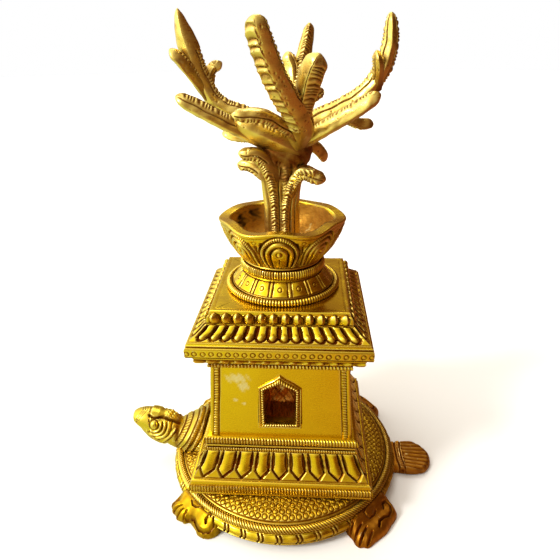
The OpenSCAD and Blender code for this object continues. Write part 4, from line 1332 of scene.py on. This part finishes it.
def slab(name, corners, centre, crown, carve, material, base, edge, side=1, count=300, rows=64):
    """A flat casting with a soft edge: its top is a height over the outline's plane, carved by a
    relief of x, y and the distance in from the edge."""
    ring = closed_curve(corners, count)
    centre = np.array(centre, float)
    t = np.linspace(0, 1, rows)[:, None, None] ** 0.8
    flat = centre + (ring[None] - centre) * np.maximum(t, 0.002)
    x, y = flat[..., 0], flat[..., 1]
    inward = to_path(x, y, np.concatenate([ring, ring[:1]])[::3])
    relief = Relief(x.shape)
    carve(relief, x, y, inward)
    soft = np.sqrt(1 - (1 - np.clip(inward / edge, 0, 1)) ** 2)
    lip = base + 1.0
    z = lip + (crown(x, y) - lip) * soft + relief.h * np.clip(inward / 0.6, 0.45, 1)
    z = np.maximum(z, base + 0.8)
    grid = np.stack([x, y * side, z], axis=-1)
    wall = np.stack([ring[:, 0], ring[:, 1] * side, np.full(count, base + 0.25)], axis=-1)
    inset = centre + (ring - centre) * 0.985
    under = np.stack([inset[:, 0], inset[:, 1] * side, np.full(count, base)], axis=-1)
    hub = np.array([[centre[0], centre[1] * side, base]])
    points = np.concatenate([grid.reshape(-1, 3), wall, under, hub])
    faces = grid_faces(rows + 2, count, wrap=True)
    last = len(points) - 1
    faces += [[last, (rows + 1) * count + (k + 1) % count, (rows + 1) * count + k] for k in range(count)]
    if side < 0:
        faces = [face[::-1] for face in faces]
    patina_and_shade = np.concatenate([relief.p.reshape(-1), np.zeros(2 * count + 1)])
    return mesh_object(name, points, faces, patina_and_shade, material, 50)


# Where the feet come out from under the rope band
FOOT_ROOT = 59.4

# The left feet as seen from above, in millimetres; the right feet mirror them
FORE_FOOT = [(-55.2, -38.0), (-54.0, -40.2), (-54.0, -41.6), (-51.6, -43.6), (-51.0, -45.4),
             (-48.2, -46.6), (-46.6, -47.6), (-44.2, -47.0), (-42.2, -49.0), (-40.4, -51.2),
             (-38.9, -53.6), (-35.9, -55.2), (-32.9, -55.3), (-30.0, -53.8), (-28.2, -50.4),
             (-32.0, -44.0), (-40.0, -36.0), (-46.0, -31.0), (-51.6, -34.2)]
FORE_TOES = [[(-49.4, -38.6), (-55.6, -38.9)], [(-48.6, -41.4), (-54.6, -42.6)],
             [(-47.4, -43.4), (-52.0, -46.2)], [(-45.6, -44.4), (-48.4, -48.6)]]
FORE_SCROLL = [(-45.6, -47.0), (-43.4, -46.8), (-41.4, -48.2), (-40.0, -50.6), (-38.4, -53.0),
               (-35.8, -54.4), (-32.9, -54.3), (-31.0, -52.9), (-30.6, -51.0), (-31.8, -49.8),
               (-33.6, -49.6), (-35.0, -50.5), (-34.8, -51.8)]
FORE_MARKS = [[(-43.7, -40.9), (-42.9, -43.1), (-40.6, -44.7), (-38.6, -44.9)],
              [(-36.4, -46.4), (-34.4, -47.6)]]
HIND_FOOT = [(31.8, -47.6), (33.2, -50.9), (34.6, -52.6), (35.6, -55.0), (37.4, -56.6), (39.4, -56.4),
             (41.8, -56.5), (45.4, -53.4), (50.6, -48.9), (53.6, -44.4), (56.8, -39.6), (56.9, -36.9),
             (54.6, -32.4), (50.0, -29.0), (42.0, -31.0), (35.0, -40.0)]
HIND_TOES = [[(36.2, -46.6), (33.2, -51.6)], [(38.9, -48.5), (35.0, -54.4)],
             [(41.2, -49.6), (37.2, -57.0)], [(43.8, -51.2), (40.6, -57.6)]]
HIND_SCROLL = [(50.1, -38.9), (50.0, -36.6), (51.7, -34.9), (53.6, -36.2), (54.0, -39.3), (52.6, -42.0),
               (49.9, -43.6), (47.8, -45.6), (47.2, -48.4)]
HIND_MARKS = [[(39.9, -43.4), (41.2, -45.1), (43.0, -45.4), (45.4, -43.2), (46.2, -41.0)]]


def foot_carver(toes, scroll, marks, seed):
    """Toes parted by tapering cuts, a scroll at the heel and a few curved marks, with painted shade where
    the foot comes out from under the rope band and over the whole foot.
    """

    def carve(relief, x, y, inward):
        for path in toes:
            away, t = to_segment(x, y, path[0], path[1])
            relief.cut(away, 0.6 + 0.4 * t, 1.2 + 1.8 * t)
        curl = to_path(x, y, scroll)
        relief.cut(curl, 0.8, 1.9)
        for path in marks:
            relief.cut(to_path(x, y, path), 0.6, 1.1)
        relief.h += 0.06 * np.sin(x * 0.9 + seed) * np.sin(y * 1.1 + seed)
        out = np.hypot(x, y) - FOOT_ROOT
        grime = 0.5 + 0.5 * np.sin(x * 1.1 + 2 * seed) * np.sin(y * 1.3 + x * 0.4)
        # painted shade where the foot comes out from under the rope band
        relief.stain_and_shade(0.8 * (1 - smooth(out / 2.4)))
        # painted shade over the whole foot, deeper on the front feet, with a mottled grime
        relief.stain_and_shade((0.36 if seed == 1 else 0.18) + 0.35 * grime)

    return carve


def foot_crown(x, y):
    """A foot slopes down and away from the rope band."""
    out = np.hypot(x, y) - 59
    return 9.5 - 0.18 * np.clip(out, 0, 20) - 2.4 * smooth((out - 0.3) / 4.5)


FEET = {
    "front": (FORE_FOOT, (-42.5, -41.0), foot_carver(FORE_TOES, FORE_SCROLL, FORE_MARKS, 1), CHASED),
    "rear": (HIND_FOOT, (45.0, -42.0), foot_carver(HIND_TOES, HIND_SCROLL, HIND_MARKS, 2), SHADED_RED_BRASS),
}


def make_feet():
    """Four feet: a front and a rear outline, each mirrored from left to right."""
    for hand, side in (("left", 1), ("right", -1)):
        for end, (outline, centre, carve, finish) in FEET.items():
            name = f"{end}_{hand}_foot"
            piece = slab(name + "_carved", outline, centre, foot_crown, carve, finish, 0.0, 3.8, side)
            settle(piece, "stand", name)


def make_tail():
    """A flat fan of quills with a banded root."""
    box = node_box("tail")
    end, wide = float(box[1][0]), float(box[1][1] - box[0][1]) / 2
    upper = [(57, 8.6), (62, 9.8), (67, 10.8), (72, wide - 0.1), (76.0, 9.2), (78.8, 6.0), (end - 0.9, 2.4)]
    lower = [(end - 0.9, -2.6), (78.8, -6.8), (76.0, -10.0), (72, -wide + 0.1), (67, -11.4), (62, -10.6),
             (57, -9.2)]

    def carve(relief, x, y, inward):
        quill = (y + 0.4) / (1 + 0.016 * (x - 60))
        where = smooth((x - 65.2) / 1.0) * smooth(inward / 1.0)
        wave = ripple(quill, 2.2)
        relief.h -= 0.85 * where * (1 - wave) ** 1.5
        relief.stain_and_shade(0.9 * where * (1 - wave) ** 2)
        for at in (61.4, 64.4):
            relief.cut(x - at - 0.012 * y**2, 0.5, 0.7)
        lane = span(x - 0.012 * y**2, 61.9, 63.9, 0.5)
        relief.ribs(y + 0.2 * x, 1.3, 0.4, lane)
        # painted shade over the whole tail, with a mottled variation
        relief.stain_and_shade(0.35 + 0.25 * np.sin(x * 0.9 + y) * np.sin(y * 0.8))

    def crown(x, y):
        return 5.4 - 0.07 * np.clip(x - 60, 0, 30)

    piece = slab("tail_fan", upper + lower, (68.0, -0.4), crown, carve, SHADED_RED_BRASS, 0.6, 2.2)
    settle(piece, "stand", "tail")


# The head and neck: place of the middle, half width and half height
NECK = [[-83.0, 0, 26.2, 2.2, 1.6], [-82.3, 0, 26.2, 4.0, 3.0], [-79.8, 0, 25.7, 5.6, 4.6],
        [-76.4, 0, 24.6, 6.6, 6.4], [-73.0, 0, 22.6, 7.6, 8.0], [-69.5, 0, 20.2, 8.2, 9.3],
        [-65.6, 0, 18.4, 8.4, 9.8], [-62.2, 0, 17.2, 7.9, 8.8], [-59.4, 0, 15.2, 8.4, 8.0],
        [-56.6, 0, 14.8, 10.4, 8.2], [-52.6, 0, 15.6, 12.8, 8.4], [-48.4, 0, 17.2, 14.6, 8.4],
        [-44.6, 0, 18.4, 15.8, 8.6], [-42.4, 0, 18.6, 16.0, 8.4]]
EYE = (-70.4, 25.4)
NOSTRIL = (-80.2, 25.6)
MOUTH = [(-82.6, 24.6), (-79.0, 21.9), (-75.4, 19.0), (-71.6, 15.6), (-68.0, 12.8)]
CHEEK = [(-74.6, 21.4), (-71.0, 17.9), (-67.0, 14.2), (-62.4, 18.2), (-58.9, 22.4)]
CAP = [(-73.6, 29.4), (-71.0, 28.2), (-67.6, 28.0), (-63.8, 27.2), (-60.2, 25.4), (-57.0, 23.6)]


def face(relief, u, a, spot, normal):
    """Eye with its folds, mouth, nostril, cheek, cap and brow."""
    x, y, z = (spot[..., k] for k in range(3))
    side = smooth((np.abs(normal[..., 1]) - 0.12) / 0.2)

    def carve(away, width, depth, darkening=1.0):
        relief.cut(away, width, depth, darkening, where=side > 0.1)

    away = np.hypot(x - EYE[0], z - EYE[1])
    turn = np.degrees(np.arctan2(z - EYE[1], x - EYE[0]))
    relief.swell(np.clip(1 - (away / 2.2) ** 2, 0, 1) ** 0.5 * side, 1.3)
    carve(away - 2.3, 0.5, 0.4, 0.8)
    carve(away, 0.45, 0.2, 0.6)
    for k, (reach, lift) in enumerate(((4.2, 0.9), (6.3, 0.8), (8.5, 0.5))):
        below = side * span(turn, -125 + 12 * k, 12 - 6 * k, 24)
        off = np.hypot(x - EYE[0] - 0.25 * k, z - EYE[1] + 0.15 * k) - reach
        relief.swell(notch(off + 0.75, 1.0) * below, lift)
        relief.cut(off - 0.45, 0.5, 0.6, 0.9, where=below > 0.35)
    carve(to_path(x, z, MOUTH), 0.42, 0.65)
    carve(np.hypot(x - NOSTRIL[0], z - NOSTRIL[1]), 0.85, 0.8)
    ridge = to_path(x, z, CHEEK)
    relief.swell(notch(ridge, 0.9) * side, 0.6)
    carve(to_path(x, z, [(px + 0.3, pz - 1.3) for px, pz in CHEEK]), 0.45, 0.5)

    line = np.interp(x, [p[0] for p in CAP], [p[1] for p in CAP])
    on_cap = smooth((z - line) / 0.5) * span(x, -73.4, -57.4, 1.2)
    relief.swell(on_cap, 1.1)
    carve(to_path(x, z, CAP), 0.5, 1.0)
    relief.cut(x + 73.6 - 0.09 * np.abs(y), 0.5, 0.6, where=(z > 26) & (np.abs(y) < 7))
    knobs = np.cos(x * 2.6 + 1.2 * y) * np.cos(y * 1.9) * span(x, -64, -57.4, 1.0)
    relief.h += 0.35 * on_cap * knobs
    relief.stain_and_shade(0.6 * on_cap * smooth(-knobs * 1.5))
    for k in range(3):
        brow = x + 75.0 + 1.3 * k + 0.12 * y**2
        relief.cut(brow, 0.32, 0.3, 0.7, where=z > 26.5)
    neck_rings(relief, a, x, z)


def neck_rings(relief, a, x, z):
    """Rings round the neck, then two corded collars that lean back against the plinth."""
    lean = (x + 57.2) - 0.60 * (z - 7.4)
    nape = smooth((x + 59.6) / 1.2)
    count = a * 11 / np.pi
    relief.ribs(count * 2 + lean * 0.2, 1.0, 0.22, span(lean, -6.4, -4.6, 0.4) * nape)
    for at in (-7.0, -4.2, -1.6, 1.2, 4.4, 7.6):
        relief.cut(lean - at, 0.5, 0.7, where=nape > 0.4)
    for lo, hi in ((-1.2, 0.8), (1.6, 4.0)):
        relief.swell(np.clip(notch(lean - (lo + hi) / 2, (hi - lo) / 2), 0, 1) * nape, 0.9)
        relief.ribs(count * 3.3 + lean * 0.5, 1.0, 0.3, span(lean, lo, hi, 0.5) * nape)
    scales = np.cos(count * 2 * np.pi * 1.6) * np.cos(lean * 2.4)
    where = span(lean, 5.0, 7.2, 0.6) + span(lean, 8.2, 30, 0.6)
    relief.h += 0.35 * scales * where * nape
    relief.stain_and_shade(0.7 * where * nape * smooth(-scales * 1.6))
    # painted shade where the neck goes in under the shell
    relief.stain_and_shade(0.85 * notch(x + 58.4, 3.0) * smooth((z - 9) / 4))


def make_head():
    """Head and neck in one casting."""
    piece = limb("head_and_neck_carved", NECK, (0, 1, 0), face, PALE, 0.26, 240, 2.05, 0.15)
    settle(piece, "stand", "head_and_neck")


make_camera()
make_room()
make_floor()
make_plinth_base()
make_plinth_petals()
make_plinth_moulding()
make_tower()
make_niche_frame()
make_niche_pocket()
make_soffit()
make_eave_edge()
make_roof_slope()
make_roof_lobes()
make_roof_deck()
make_shell()
make_underside()
make_rope_band()
make_rim()
make_foot_ring()
make_bowl_foot()
make_waist()
make_bowl()
make_bowl_lining()
make_tree()
make_head()
make_feet()
make_tail()
for name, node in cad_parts.items():
    node.data.materials.clear()
    node.data.materials.append(STEEL if name.startswith("tie_rod") else SKIN)
